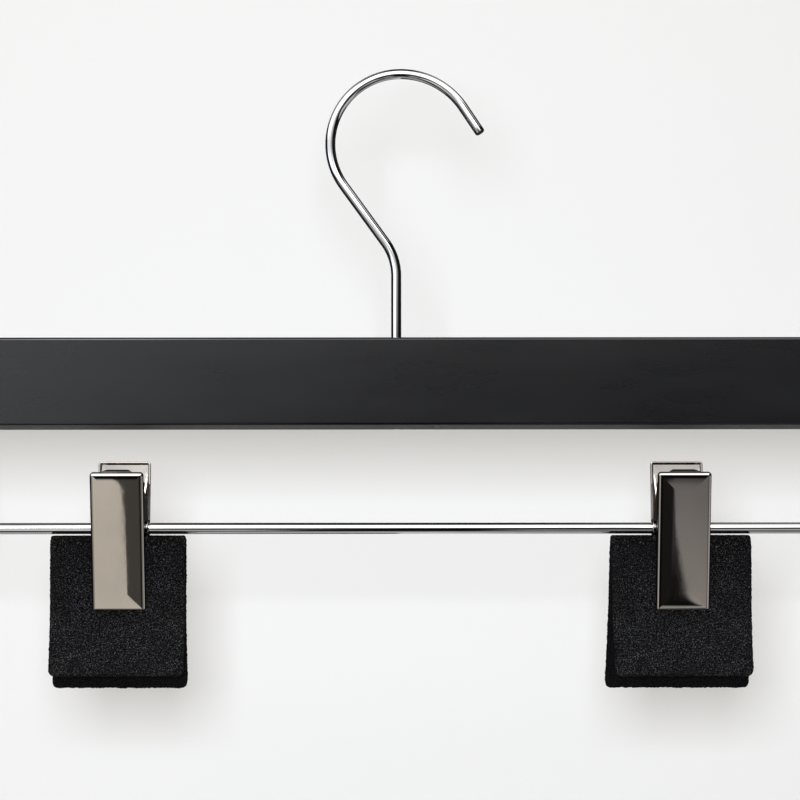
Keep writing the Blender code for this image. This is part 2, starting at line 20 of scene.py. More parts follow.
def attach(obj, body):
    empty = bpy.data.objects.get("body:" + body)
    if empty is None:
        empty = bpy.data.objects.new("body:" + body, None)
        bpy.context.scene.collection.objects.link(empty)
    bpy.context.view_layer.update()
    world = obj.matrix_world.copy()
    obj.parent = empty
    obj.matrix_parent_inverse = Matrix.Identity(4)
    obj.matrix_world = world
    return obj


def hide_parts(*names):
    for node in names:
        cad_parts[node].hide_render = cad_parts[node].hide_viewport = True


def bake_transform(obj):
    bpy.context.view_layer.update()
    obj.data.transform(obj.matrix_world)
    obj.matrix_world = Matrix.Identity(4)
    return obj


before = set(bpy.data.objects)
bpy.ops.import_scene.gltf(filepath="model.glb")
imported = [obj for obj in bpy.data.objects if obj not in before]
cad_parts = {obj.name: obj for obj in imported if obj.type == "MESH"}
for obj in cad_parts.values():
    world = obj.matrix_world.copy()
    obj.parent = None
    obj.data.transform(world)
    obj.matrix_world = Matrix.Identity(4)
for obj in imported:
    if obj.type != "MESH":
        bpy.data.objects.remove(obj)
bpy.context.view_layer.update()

LOG = logging.getLogger("trouser_hanger")
MM = 0.001
DEG = math.pi / 180.0
QUARTER = math.pi / 2.0
FULL_TURN = 360.0
UP = Vector((0.0, 0.0, 1.0))

# Distances under which two places count as one, and the decimals of a grid line's place
WELD_GAP = 0.002 * MM
LINE_GAP = 1e-7
TIE_GAP = 1e-9
LINE_PLACES = 7

# Share of Y above which a wire starts across the object, steps of its rounded end, and the
# angle above which an edge is sharp
STEEP_SHARE = 0.9
END_STEPS = 5
SHARP_DEG = 35.0

Colour = tuple[float, float, float]
Place = tuple[float, float, float]
Pair = tuple[float, float]
Face = tuple[int, ...]
Station = tuple[Vector, float]


# Shader expressions

class Signal:
    """A shader socket that takes part in Python expressions."""

    def __init__(self, graph: "Graph", socket: bpy.types.NodeSocket) -> None:
        """Wrap one output socket of a graph."""
        self.graph = graph
        self.socket = socket

    def __add__(self, other: "Signal | float") -> "Signal":
        """Sum."""
        return self.graph.maths("ADD", self, other)

    __radd__ = __add__

    def __sub__(self, other: "Signal | float") -> "Signal":
        """Difference."""
        return self.graph.maths("SUBTRACT", self, other)

    def __rsub__(self, other: float) -> "Signal":
        """Reflected difference."""
        return self.graph.maths("SUBTRACT", other, self)

    def __mul__(self, other: "Signal | float") -> "Signal":
        """Product."""
        return self.graph.maths("MULTIPLY", self, other)

    __rmul__ = __mul__

    def __truediv__(self, other: "Signal | float") -> "Signal":
        """Quotient."""
        return self.graph.maths("DIVIDE", self, other)

    def step(self, edge: "Signal | float", soft: float) -> "Signal":
        """Rise from 0 to 1 round an edge.

        Args:
            edge: value at the middle of the rise.
            soft: width of the rise.

        Returns:
            The risen share, kept between 0 and 1.
        """
        risen = (self - edge) / soft + 0.5
        return self.graph.output("ShaderNodeClamp", {"clamp_type": "MINMAX"}, {"Value": risen})

    def band(self, low: float, low_soft: float, high: float, high_soft: float) -> "Signal":
        """Rise at one edge and fall at a higher one.

        Args:
            low: middle of the rise.
            low_soft: width of the rise.
            high: middle of the fall.
            high_soft: width of the fall.

        Returns:
            The share between the edges.
        """
        return self.step(low, low_soft) * (1.0 - self.step(high, high_soft))


class Graph:
    """The node tree of one material."""

    def __init__(self, name: str) -> None:
        """Start an empty material.

        Args:
            name: the material's name.
        """
        self.material = bpy.data.materials.new(name)
        self.material.use_nodes = True
        self.tree = self.material.node_tree
        self.tree.nodes.clear()

    def add(self, kind: str, settings: dict | None = None,
            inputs: dict | None = None) -> bpy.types.Node:
        """Add one node.

        Args:
            kind: the node's type.
            settings: its options, set first.
            inputs: values or signals by socket name or number.

        Returns:
            The new node.
        """
        node = self.tree.nodes.new(kind)
        for name, value in (settings or {}).items():
            setattr(node, name, value)
        for key, value in (inputs or {}).items():
            if isinstance(value, Signal):
                self.tree.links.new(value.socket, node.inputs[key])
            else:
                node.inputs[key].default_value = value
        return node

    def output(self, kind: str, settings: dict | None = None, inputs: dict | None = None,
               socket: int | str = 0) -> Signal:
        """Add one node and take one of its outputs.

        Args:
            kind: the node's type.
            settings: its options.
            inputs: values or signals by socket name or number.
            socket: the output's name or number.

        Returns:
            The output.
        """
        return Signal(self, self.add(kind, settings, inputs).outputs[socket])

    def maths(self, operation: str, *values: "Signal | float") -> Signal:
        """Add a Math node on one or two values."""
        return self.output("ShaderNodeMath", {"operation": operation}, dict(enumerate(values)))

    def vector(self, operation: str, *values: "Signal | Sequence[float]") -> Signal:
        """Add a Vector Math node."""
        return self.output("ShaderNodeVectorMath", {"operation": operation},
                           dict(enumerate(values)))

    def place(self) -> Signal:
        """The place on the piece, in metres, in the piece's own frame."""
        return self.output("ShaderNodeTexCoord", socket="Object")

    def attribute(self, name: str, socket: str = "Vector") -> Signal:
        """A value stored on the mesh."""
        return self.output("ShaderNodeAttribute", {"attribute_name": name}, socket=socket)

    def axes(self, vector: Signal) -> list[Signal]:
        """The three parts of a vector."""
        node = self.add("ShaderNodeSeparateXYZ", None, {0: vector})
        return [Signal(self, socket) for socket in node.outputs]

    def grain(self, place: Signal, per_metre: Sequence[float], detail: float = 2.0) -> Signal:
        """Noise with its own scale on each axis.

        Args:
            place: where on the piece.
            per_metre: noise cells per metre along each axis.
            detail: octaves.

        Returns:
            The noise, about 0.5.
        """
        stretched = self.vector("MULTIPLY", place, tuple(per_metre))
        return self.output("ShaderNodeTexNoise", None,
                           {"Vector": stretched, "Scale": 1.0, "Detail": detail})

    def mix(self, share: Signal, low: "Signal | Colour", high: "Signal | Colour") -> Signal:
        """Blend two colours.

        Args:
            share: 0 for the first, 1 for the second.
            low: first colour.
            high: second colour.

        Returns:
            The blended colour.
        """
        ends = [value if isinstance(value, Signal) else (*value, 1.0) for value in (low, high)]
        return self.output("ShaderNodeMix", {"data_type": "RGBA"},
                           {0: share, 6: ends[0], 7: ends[1]}, 2)

    def bump(self, height: Signal, depth: float) -> Signal:
        """Turn a height from 0 to 1 into a normal.

        Args:
            height: the relief.
            depth: metres that 1 stands for.

        Returns:
            The normal.
        """
        return self.output("ShaderNodeBump", None,
                           {"Height": height, "Distance": depth, "Strength": 1.0})

    def surface(self, inputs: dict) -> bpy.types.Material:
        """Close the tree with a Principled shader.

        Args:
            inputs: what the shader's sockets hold.

        Returns:
            The finished material.
        """
        return self.close(self.output("ShaderNodeBsdfPrincipled", None, inputs))

    def close(self, shader: Signal) -> bpy.types.Material:
        """Close the tree with any shader and give back the material."""
        self.add("ShaderNodeOutputMaterial", None, {"Surface": shader})
        return self.material


# Finishes

@dataclass(frozen=True)
class Patches:
    """Places where a noise stands above an edge.

    The cells are counted per metre along each axis, and the edge has a level and a softness.
    """

    cells: Place
    edge: Pair
    detail: float = 2.0

    def on(self, graph: Graph, place: Signal) -> Signal:
        """How much of the patches shows at a place, from 0 to 1."""
        return graph.grain(place, self.cells, self.detail).step(*self.edge)


@dataclass(frozen=True)
class PlatedWire:
    """Bright chrome over drawn wire: faint lines along it, dull specks, a bare cut end."""

    colour: Colour = (0.80, 0.80, 0.81)
    dulled: Colour = (0.70, 0.70, 0.71)
    cut: Colour = (0.07, 0.07, 0.072)
    roughness: float = 0.035
    line_roughness: float = 0.035
    speck_roughness: float = 0.12
    cut_roughness: float = 0.35
    line_depth: float = 0.004 * MM
    cut_length: float = 0.9 * MM
    cut_soft: float = 0.2 * MM
    line_cells: Place = (90.0, 5200.0, 5200.0)
    haze: Patches = Patches((160.0, 300.0, 300.0), (0.6, 0.5), 3.0)
    specks: Patches = Patches((1900.0, 1900.0, 1900.0), (0.74, 0.06))

    def material(self, name: str) -> bpy.types.Material:
        """Build the finish on the mesh's route attribute.

        Args:
            name: the material's name.

        Returns:
            The material.
        """
        graph = Graph(name)
        route = graph.attribute("route")
        lines = graph.grain(route, self.line_cells)
        specks = self.specks.on(graph, route)
        bare = 1.0 - graph.axes(route)[0].step(self.cut_length, self.cut_soft)
        rough = (lines * self.line_roughness + self.roughness + specks * self.speck_roughness
                 + bare * self.cut_roughness)
        plating = graph.mix(self.haze.on(graph, route), self.colour, self.dulled)
        return graph.surface({
            "Base Color": graph.mix(bare, plating, self.cut),
            "Metallic": 1.0,
            "Roughness": rough,
            "Normal": graph.bump(lines, self.line_depth),
        })


@dataclass(frozen=True)
class PlatedSheet:
    """Dark nickel over stamped sheet: soft orange peel, rubbed patches, and a darker rim that is a
    painted dark reflection.
    """

    colour: Colour = (0.52, 0.484, 0.452)
    rubbed: Colour = (0.47, 0.437, 0.408)
    # Painted dark reflection: the colour that the rim takes where it turns away from the face
    rim: Colour = (0.09, 0.085, 0.08)
    roughness: float = 0.02
    rub_roughness: float = 0.03
    speck_roughness: float = 0.1
    hair_roughness: float = 0.015
    peel_depth: float = 0.0018 * MM
    peel_cells: Place = (300.0, 300.0, 220.0)
    rub: Patches = Patches((55.0, 55.0, 30.0), (0.55, 0.35), 4.0)
    specks: Patches = Patches((2400.0, 2400.0, 2400.0), (0.76, 0.05))
    hairs: Patches = Patches((2600.0, 2600.0, 70.0), (0.68, 0.1))
    rim_edge: Pair = (0.42, 0.2)

    def material(self, name: str) -> bpy.types.Material:
        """Build the finish, with the mesh's rim attribute for the darker rim, a painted dark
        reflection.

        Args:
            name: the material's name.

        Returns:
            The material.
        """
        graph = Graph(name)
        place = graph.place()
        peel = graph.grain(place, self.peel_cells, 1.0)
        rub, specks, hairs = (patches.on(graph, place)
                              for patches in (self.rub, self.specks, self.hairs))
        # Painted dark reflection: where the rim turns away from the face, the plating takes the
        # dark rim colour
        painted_reflection = graph.attribute("rim", "Fac").step(*self.rim_edge)
        rough = (rub * self.rub_roughness + specks * self.speck_roughness
                 + hairs * self.hair_roughness + self.roughness)
        return graph.surface({
            "Base Color": graph.mix(painted_reflection, graph.mix(rub, self.colour, self.rubbed), self.rim),
            "Metallic": 1.0,
            "Roughness": rough,
            "Normal": graph.bump(peel, self.peel_depth),
        })


@dataclass(frozen=True)
class SpringSteel:
    """Plain oiled steel, stained in patches."""

    colour: Colour = (0.42, 0.42, 0.43)
    stained: Colour = (0.27, 0.26, 0.25)
    roughness: float = 0.22
    stain_roughness: float = 0.18
    grit_roughness: float = 0.1
    grit_depth: float = 0.004 * MM
    stain: Patches = Patches((420.0, 420.0, 420.0), (0.58, 0.3), 4.0)
    grit_cells: Place = (3000.0, 3000.0, 3000.0)

    def material(self, name: str) -> bpy.types.Material:
        """Build the finish.

        Args:
            name: the material's name.

        Returns:
            The material.
        """
        graph = Graph(name)
        place = graph.place()
        stain = self.stain.on(graph, place)
        grit = graph.grain(place, self.grit_cells)
        return graph.surface({
            "Base Color": graph.mix(stain, self.colour, self.stained),
            "Metallic": 1.0,
            "Roughness": stain * self.stain_roughness + grit * self.grit_roughness
                         + self.roughness,
            "Normal": graph.bump(grit, self.grit_depth),
        })


@dataclass(frozen=True)
class SatinPlastic:
    """Black satin moulding: fine grain, faint rubbing along it, stray dust, smoother edges, and a
    lighter chamfer that is a painted reflection of the pale floor below.

    The upper edge and the crease above the chamfer are bands of height, each given as
    distances from the top or the crease and their softness.
    """

    colour: Colour = (0.0035, 0.0035, 0.0042)
    rubbed: Colour = (0.0055, 0.0055, 0.0062)
    dust: Colour = (0.06, 0.06, 0.06)
    # Painted reflection: a lighter colour on the chamfer that stands in for the pale floor
    # mirrored in it
    painted_reflection: Colour = (0.045, 0.045, 0.046)
    roughness: float = 0.27
    rub_roughness: float = 0.05
    hair_roughness: float = 0.05
    dust_roughness: float = 0.2
    edge_roughness: float = 0.1
    grain_depth: float = 0.006 * MM
    top: float = -97.5 * MM
    crease: float = -130.0 * MM
    upper_band: Pair = (-1.05 * MM, 0.3 * MM)
    crease_low: Pair = (-0.42 * MM, 0.15 * MM)
    crease_high: Pair = (0.5 * MM, 0.15 * MM)
    chamfer_edge: Pair = (-0.35 * MM, 0.2 * MM)
    grain_cells: Place = (5200.0, 5200.0, 5200.0)
    rub: Patches = Patches((18.0, 60.0, 90.0), (0.55, 0.4), 4.0)
    hairs: Patches = Patches((45.0, 2600.0, 2600.0), (0.7, 0.12))
    specks: Patches = Patches((1500.0, 1500.0, 1500.0), (0.80, 0.04))

    def material(self, name: str) -> bpy.types.Material:
        """Build the finish.

        Args:
            name: the material's name.

        Returns:
            The material.
        """
        graph = Graph(name)
        place = graph.place()
        grain = graph.grain(place, self.grain_cells)
        rub, hairs, dust = (patches.on(graph, place)
                            for patches in (self.rub, self.hairs, self.specks))
        height = graph.axes(place)[2]
        upper = height.step(self.top + self.upper_band[0], self.upper_band[1])
        crease = height.band(self.crease + self.crease_low[0], self.crease_low[1],
                             self.crease + self.crease_high[0], self.crease_high[1])
        edge = upper + crease
        # Painted reflection: the chamfer below the crease takes the lighter colour
        chamfer = 1.0 - height.step(self.crease + self.chamfer_edge[0], self.chamfer_edge[1])
        tone = graph.mix(chamfer, graph.mix(rub, self.colour, self.rubbed), self.painted_reflection)
        rough = (rub * self.rub_roughness + hairs * self.hair_roughness
                 + dust * self.dust_roughness + self.roughness)
        return graph.surface({
            "Base Color": graph.mix(dust, tone, self.dust),
            "Roughness": rough * (1.0 - edge) + edge * self.edge_roughness,
            "Specular IOR Level": 0.5,
            "Normal": graph.bump(grain, self.grain_depth),
        })


@dataclass(frozen=True)
class PlushFoam:
    """Black open foam: pebbled, matt, with pale grains caught in the light; painted shade darkens
    its inner faces and the strip past a length from the front flap's bottom edge.
    """

    colour: Colour = (0.0008, 0.0008, 0.001)
    raised: Colour = (0.0165, 0.0163, 0.017)
    glint: Colour = (0.08, 0.08, 0.083)
    # Painted shade: the darker colour of the inner faces, which lie in the shade between the flaps
    inner: Colour = (0.0105, 0.0103, 0.0108)
    roughness: float = 0.95
    sheen: float = 0.04
    pebble: float = 2000.0
    fine_share: float = 0.4
    fine_scale: float = 1.6
    patch: float = 90.0
    relief_edge: Pair = (0.53, 0.22)
    glint_edge: Pair = (0.72, 0.06)
    glint_patches: float = -0.2
    pebble_edge: Pair = (0.5, 0.15)
    pebble_depth: float = 0.3 * MM
    # Painted shade: past this length from the front flap's bottom edge, the colour darkens by the
    # share below
    shaded_edge: Pair = (30.0 * MM, 22.0 * MM)
    shaded_share: float = 0.35
    layer_soft: float = 1.0 * MM

    def material(self, name: str) -> bpy.types.Material:
        """Build the finish on the strip's flat coordinates.

        Args:
            name: the material's name.

        Returns:
            The material.
        """
        graph = Graph(name)
        flat = graph.attribute("flat")
        pebbles = graph.grain(flat, (self.pebble,) * 3, 1.0)
        fine = graph.grain(flat, (self.fine_scale * self.pebble,) * 3, 1.0)
        patches = graph.grain(flat, (self.patch,) * 3, 3.0)
        relief = pebbles * (1.0 - self.fine_share) + fine * self.fine_share
        raised = relief.step(*self.relief_edge)
        limit = patches * self.glint_patches + self.glint_edge[0]
        glints = fine.step(limit, self.glint_edge[1]) * pebbles.step(*self.pebble_edge)
        # Painted shade: the inner faces get this darker mix
        painted_inner_shade = graph.mix(raised, self.colour, self.inner)
        tone = graph.mix(glints, graph.mix(raised, self.colour, self.raised), self.glint)
        _, along, layer = graph.axes(flat)
        # Painted shade: the upper part of the front flap, the fold and the rear flap are darkened
        tone = graph.mix(along.step(*self.shaded_edge) * self.shaded_share, tone, self.colour)
        return graph.surface({
            "Base Color": graph.mix(layer.step(0.0, self.layer_soft), painted_inner_shade, tone),
            "Roughness": self.roughness,
            "Specular IOR Level": self.sheen,
            "Normal": graph.bump(relief, self.pebble_depth),
        })


class Finish(Enum):
    """The finishes that the pieces choose from."""

    CHROME = PlatedWire()
    NICKEL = PlatedSheet()
    SPRING = SpringSteel()
    PLASTIC = SatinPlastic()
    FOAM = PlushFoam()


# Mesh tools

class Join(Enum):
    """How one solid acts on another."""

    ADD = "UNION"
    CUT = "DIFFERENCE"


def link(name: str, data: bpy.types.ID) -> bpy.types.Object:
    """Make an object of its data and link it to the scene.

    Args:
        name: the object's name.
        data: its mesh, curve, light or camera data.

    Returns:
        The object.
    """
    made = bpy.data.objects.new(name, data)
    bpy.context.scene.collection.objects.link(made)
    return made


def dress(piece: bpy.types.Object, finish: Finish) -> None:
    """Give a piece one material of a finish."""
    piece.data.materials.clear()
    piece.data.materials.append(finish.value.material(piece.name + "_finish"))


def stand_in(piece: bpy.types.Object, body: str, node: str, finish: Finish) -> None:
    """Dress a rigid piece, put it in its node's place and let it ride on the node's body.

    Args:
        piece: the dressed form.
        body: what it rides on.
        node: the solid that it takes the place of.
        finish: what it is dressed in.
    """
    dress(piece, finish)
    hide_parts(node)
    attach(piece, body)
    LOG.info("%s: %d faces, in the place of %s on %s", piece.name, len(piece.data.polygons),
             node, body)


def shade(mesh: bpy.types.Mesh, sharp_deg: float) -> None:
    """Shade a mesh smooth, with sharp edges above an angle."""
    mesh.shade_smooth()
    mesh.set_sharp_from_angle(angle=math.radians(sharp_deg))


def mesh_piece(name: str, points: Sequence[Sequence[float]], faces: Sequence[Face],
               sharp_deg: float = SHARP_DEG) -> bpy.types.Object:
    """Make an object of points and faces, facing out and smooth up to an angle.

    Args:
        name: the object's name.
        points: one row for each vertex.
        faces: vertex numbers of each face.
        sharp_deg: angle above which an edge stays sharp.

    Returns:
        The object, linked to the scene.
    """
    mesh = bpy.data.meshes.new(name)
    mesh.from_pydata([tuple(point) for point in points], [], faces)
    built = bmesh.new()
    built.from_mesh(mesh)
    bmesh.ops.recalc_face_normals(built, faces=built.faces)
    if built.calc_volume(signed=True) < 0.0:
        bmesh.ops.reverse_faces(built, faces=built.faces)
    built.to_mesh(mesh)
    built.free()
    shade(mesh, sharp_deg)
    return link(name, mesh)


def store(piece: bpy.types.Object, name: str, vectors: Sequence[Sequence[float]]) -> None:
    """Store one vector for each vertex of a piece."""
    stored = piece.data.attributes.new(name, "FLOAT_VECTOR", "POINT")
    stored.data.foreach_set("vector", np.array(vectors, np.float32).ravel())


def evaluated_mesh(piece: bpy.types.Object) -> bpy.types.Mesh:
    """The mesh that a piece's modifiers or curve settings make."""
    bpy.context.view_layer.update()
    return bpy.data.meshes.new_from_object(
        piece.evaluated_get(bpy.context.evaluated_depsgraph_get()))


def apply_modifiers(piece: bpy.types.Object) -> None:
    """Give a piece the mesh that its modifiers make, and drop them.

    Args:
        piece: the object with its modifiers.
    """
    mesh = evaluated_mesh(piece)
    piece.modifiers.clear()
    piece.data = mesh


def settle(piece: bpy.types.Object, sharp_deg: float = SHARP_DEG) -> bpy.types.Object:
    """Apply a piece's modifiers and even out its shading.

    Args:
        piece: the object with its modifiers.
        sharp_deg: angle above which an edge stays sharp.

    Returns:
        The same object.
    """
    apply_modifiers(piece)
    shade(piece.data, sharp_deg)
    even = piece.modifiers.new("even shading", "WEIGHTED_NORMAL")
    even.keep_sharp = True
    return piece


def combine(target: bpy.types.Object, operand: bpy.types.Object, join: Join) -> None:
    """Join an operand to a target or cut it away, and drop the operand.

    Args:
        target: the piece that changes.
        operand: the other solid.
        join: how the other solid acts on it.
    """
    modifier = target.modifiers.new("combine", "BOOLEAN")
    modifier.operation = join.value
    modifier.solver = "EXACT"
    modifier.object = operand
    apply_modifiers(target)
    bpy.data.objects.remove(operand, do_unlink=True)


def ring_faces(rings: int, count: int, closed: bool = False) -> list[Face]:
    """Faces that join rings of points, one ring after the other.

    Args:
        rings: how many there are.
        count: points of each ring.
        closed: True joins the last ring to the first, False caps both.

    Returns:
        Vertex numbers of each face.
    """
    faces = [] if closed else [tuple(range(count))]
    for ring in range(rings if closed else rings - 1):
        here, there = ring * count, (ring + 1) % rings * count
        for index in range(count):
            after = (index + 1) % count
            faces.append((here + index, here + after, there + after, there + index))
    if not closed:
        faces.append(tuple(range((rings - 1) * count, rings * count)))
    return faces


def sweep(name: str, stations: Sequence[Station], sides: int) -> bpy.types.Object:
    """Sweep a round section along a line, closed at both ends.

    Args:
        name: the object's name.
        stations: points of the middle line, each with the section's radius.
        sides: points round the section.

    Returns:
        The tube, with its route stored on it for the finish.
    """
    path = np.array([tuple(point) for point, _ in stations])
    ahead = np.gradient(path, axis=0)
    ahead /= np.linalg.norm(ahead, axis=1, keepdims=True)
    travelled = np.concatenate([[0.0], np.cumsum(np.linalg.norm(np.diff(path, axis=0), axis=1))])
    level = abs(ahead[0][1]) < STEEP_SHARE
    across = np.cross(ahead[0], (0.0, 1.0, 0.0) if level else (1.0, 0.0, 0.0))
    across /= np.linalg.norm(across)
    angles = np.arange(sides) * 2.0 * math.pi / sides
    cosines, sines = np.cos(angles), np.sin(angles)
    points = []
    routes = []
    for (_, radius), centre, forward, length in zip(stations, path, ahead, travelled):
        across = across - forward * np.dot(across, forward)
        across /= np.linalg.norm(across)
        upright = np.cross(forward, across)
        points.append(centre + (np.outer(cosines, across) + np.outer(sines, upright)) * radius)
        routes.append(np.stack([np.full(sides, length), radius * cosines, radius * sines], 1))
    piece = mesh_piece(name, np.concatenate(points), ring_faces(len(path), sides))
    store(piece, "route", np.concatenate(routes))
    return piece


def revolve(name: str, profile: Sequence[Pair], segments: int) -> bpy.types.Object:
    """Turn a closed (radius, height) profile round Z.

    Args:
        name: the object's name.
        profile: the section's points.
        segments: steps round the turn.

    Returns:
        The turned piece.
    """
    points = []
    for segment in range(segments):
        angle = 2.0 * math.pi * segment / segments
        points += [(radius * math.cos(angle), radius * math.sin(angle), height)
                   for radius, height in profile]
    return mesh_piece(name, points, ring_faces(segments, len(profile), closed=True))


def flat_piece(name: str, outline: Sequence[Pair], thickness: float,
               edge: float) -> bpy.types.Object:
    """Make a flat plate from a closed outline.

    Args:
        name: the object's name.
        outline: its corners.
        thickness: of the plate, about Z = 0.
        edge: radius of its rounded edges.

    Returns:
        The plate, as one welded mesh.
    """
    curve = bpy.data.curves.new(name, "CURVE")
    curve.dimensions = "2D"
    curve.fill_mode = "BOTH"
    curve.extrude = thickness / 2.0 - edge
    curve.bevel_depth = edge
    curve.bevel_resolution = 2
    curve.offset = -edge
    spline = curve.splines.new("POLY")
    spline.points.add(len(outline) - 1)
    spline.use_cyclic_u = True
    for point, (first, second) in zip(spline.points, outline):
        point.co = (first, second, 0.0, 1.0)
    carrier = link(name + "_outline", curve)
    mesh = evaluated_mesh(carrier)
    bpy.data.objects.remove(carrier, do_unlink=True)
    built = bmesh.new()
    built.from_mesh(mesh)
    bmesh.ops.remove_doubles(built, verts=built.verts, dist=WELD_GAP)
    bmesh.ops.recalc_face_normals(built, faces=built.faces)
    built.to_mesh(mesh)
    built.free()
    return link(name, mesh)


def link_built(name: str, built: bmesh.types.BMesh) -> bpy.types.Object:
    """Turn a built form into an object of the scene.

    Args:
        name: the object's name.
        built: the form, which is used up.

    Returns:
        The object.
    """
    mesh = bpy.data.meshes.new(name)
    built.to_mesh(mesh)
    built.free()
    return link(name, mesh)


def cut_round(piece: bpy.types.Object, radius: float, length: float, matrix: Matrix) -> None:
    """Cut a round hole into a piece.

    Args:
        piece: what is cut.
        radius: of the hole.
        length: of the cutter, half of it on each side of its place.
        matrix: the cutter's place, with its axis on Z.
    """
    built = bmesh.new()
    bmesh.ops.create_cone(built, cap_ends=True, segments=64, radius1=radius, radius2=radius,
                          depth=length, matrix=matrix)
    combine(piece, link_built("cutter", built), Join.CUT)


def arc(centre: Vector, radius: float, start_deg: float, end_deg: float,
        steps: int) -> list[Vector]:
    """Step along an arc in the XZ plane.

    Args:
        centre: of the arc.
        radius: of the arc.
        start_deg: where it starts, from +X towards +Z.
        end_deg: where it ends.
        steps: how many.

    Returns:
        Its points, both ends with them.
    """
    angles = [math.radians(start_deg + (end_deg - start_deg) * index / steps)
              for index in range(steps + 1)]
    return [centre + Vector((math.cos(angle), 0.0, math.sin(angle))) * radius for angle in angles]


def between(start: Vector, end: Vector, steps: int) -> list[Vector]:
    """Points of a straight line, without its two ends."""
    return [start.lerp(end, step / steps) for step in range(1, steps)]


def quarter(steps: int) -> list[Pair]:
    """Sine and cosine at even steps of a quarter turn."""
    angles = [QUARTER * index / steps for index in range(steps + 1)]
    return [(math.sin(angle), math.cos(angle)) for angle in angles]


def rounded_end(tip: Vector, inward: Vector, radius: float, rounding: float) -> list[Station]:
    """Round the rim of a wire's end.

    Args:
        tip: middle of the end face.
        inward: direction along the wire.
        radius: of the wire.
        rounding: of the rim.

    Returns:
        Stations from the end face inward.
    """
    return [(tip + inward * rounding * (1.0 - cosine), radius - rounding * (1.0 - sine))
            for sine, cosine in quarter(END_STEPS)]


def smooth_step(value: float, low: float, high: float) -> float:
    """Go smoothly from 0 at low to 1 at high."""
    share = min(max((value - low) / (high - low), 0.0), 1.0)
    return share * share * (3.0 - 2.0 * share)


# Sub-assemblies

@dataclass
class Wire:
    """Round wire stock."""

    radius: float
    end_rounding: float = 0.35 * MM
    sides: int = 40


@dataclass
class Bar:
    """Moulded bar with the hook's hole, its counterbore and the rail's sockets.

    The crease is the rounding of the chamfer's edges along the bar, which lie within the
    chamfer's share of the underside.
    """

    length: float = 380.0 * MM
    thickness: float = 12.0 * MM
    height: float = 34.6 * MM
    top: float = -97.5 * MM
    chamfer: float = 2.1 * MM
    chamfer_share: float = 1.5
    rounding: float = 1.0 * MM
    rounding_steps: int = 6
    crease: float = 0.55 * MM
    clearance: float = 0.1 * MM
    bore_radius: float = 3.75 * MM
    bore_depth: float = 8.0 * MM
    socket_depth: float = 12.0 * MM
    rail_half_span: float = 172.0 * MM

    @property
    def bottom(self) -> float:
        """Height of the underside."""
        return self.top - self.height

    def outline(self) -> list[Pair]:
        """Draw the section.

        Returns:
            Its corners as (Y, Z).
        """
        half = self.thickness / 2.0
        inner = half - self.chamfer
        rise = self.bottom + self.chamfer
        return [(-half, self.top), (half, self.top), (half, rise), (inner, self.bottom),
                (-inner, self.bottom), (-half, rise)]

    def _round_edges(self, bar: bpy.types.Object) -> None:
        """Round the bar's edges, those of the chamfer less than the others.

        Args:
            bar: the plain moulding.
        """
        weights = bar.data.attributes.new("bevel_weight_edge", "FLOAT", "EDGE")
        for edge in bar.data.edges:
            first, second = (bar.data.vertices[index].co for index in edge.vertices)
            along = abs(first.x - second.x) > self.height
            lower = max(first.z, second.z) < self.bottom + self.chamfer_share * self.chamfer
            creased = along and lower
            weights.data[edge.index].value = self.crease / self.rounding if creased else 1.0
        bevel = bar.modifiers.new("rounding", "BEVEL")
        bevel.width = self.rounding
        bevel.segments = self.rounding_steps
        bevel.limit_method = "WEIGHT"
        apply_modifiers(bar)

    def build(self, hook_wire: Wire, rail_wire: Wire) -> bpy.types.Object:
        """Make the bar.

        Args:
            hook_wire: what goes through its hole.
            rail_wire: what goes into its sockets.

        Returns:
            The bar.
        """
        section = self.outline()
        ends = (-self.length / 2.0, self.length / 2.0)
        points = [(x, y, z) for x in ends for y, z in section]
        bar = mesh_piece("hanger_bar", points, ring_faces(len(ends), len(section)))
        self._round_edges(bar)
        middle = (self.top + self.bottom) / 2.0
        socket = rail_wire.radius + self.clearance
        for x, z, radius, length in (
                (0.0, middle, hook_wire.radius + self.clearance, 2.0 * self.height),
                (0.0, self.bottom, self.bore_radius, 2.0 * self.bore_depth),
                (-self.rail_half_span, self.bottom, socket, 2.0 * self.socket_depth),
                (self.rail_half_span, self.bottom, socket, 2.0 * self.socket_depth)):
            cut_round(bar, radius, length, Matrix.Translation((x, 0.0, z)))
        return settle(bar)


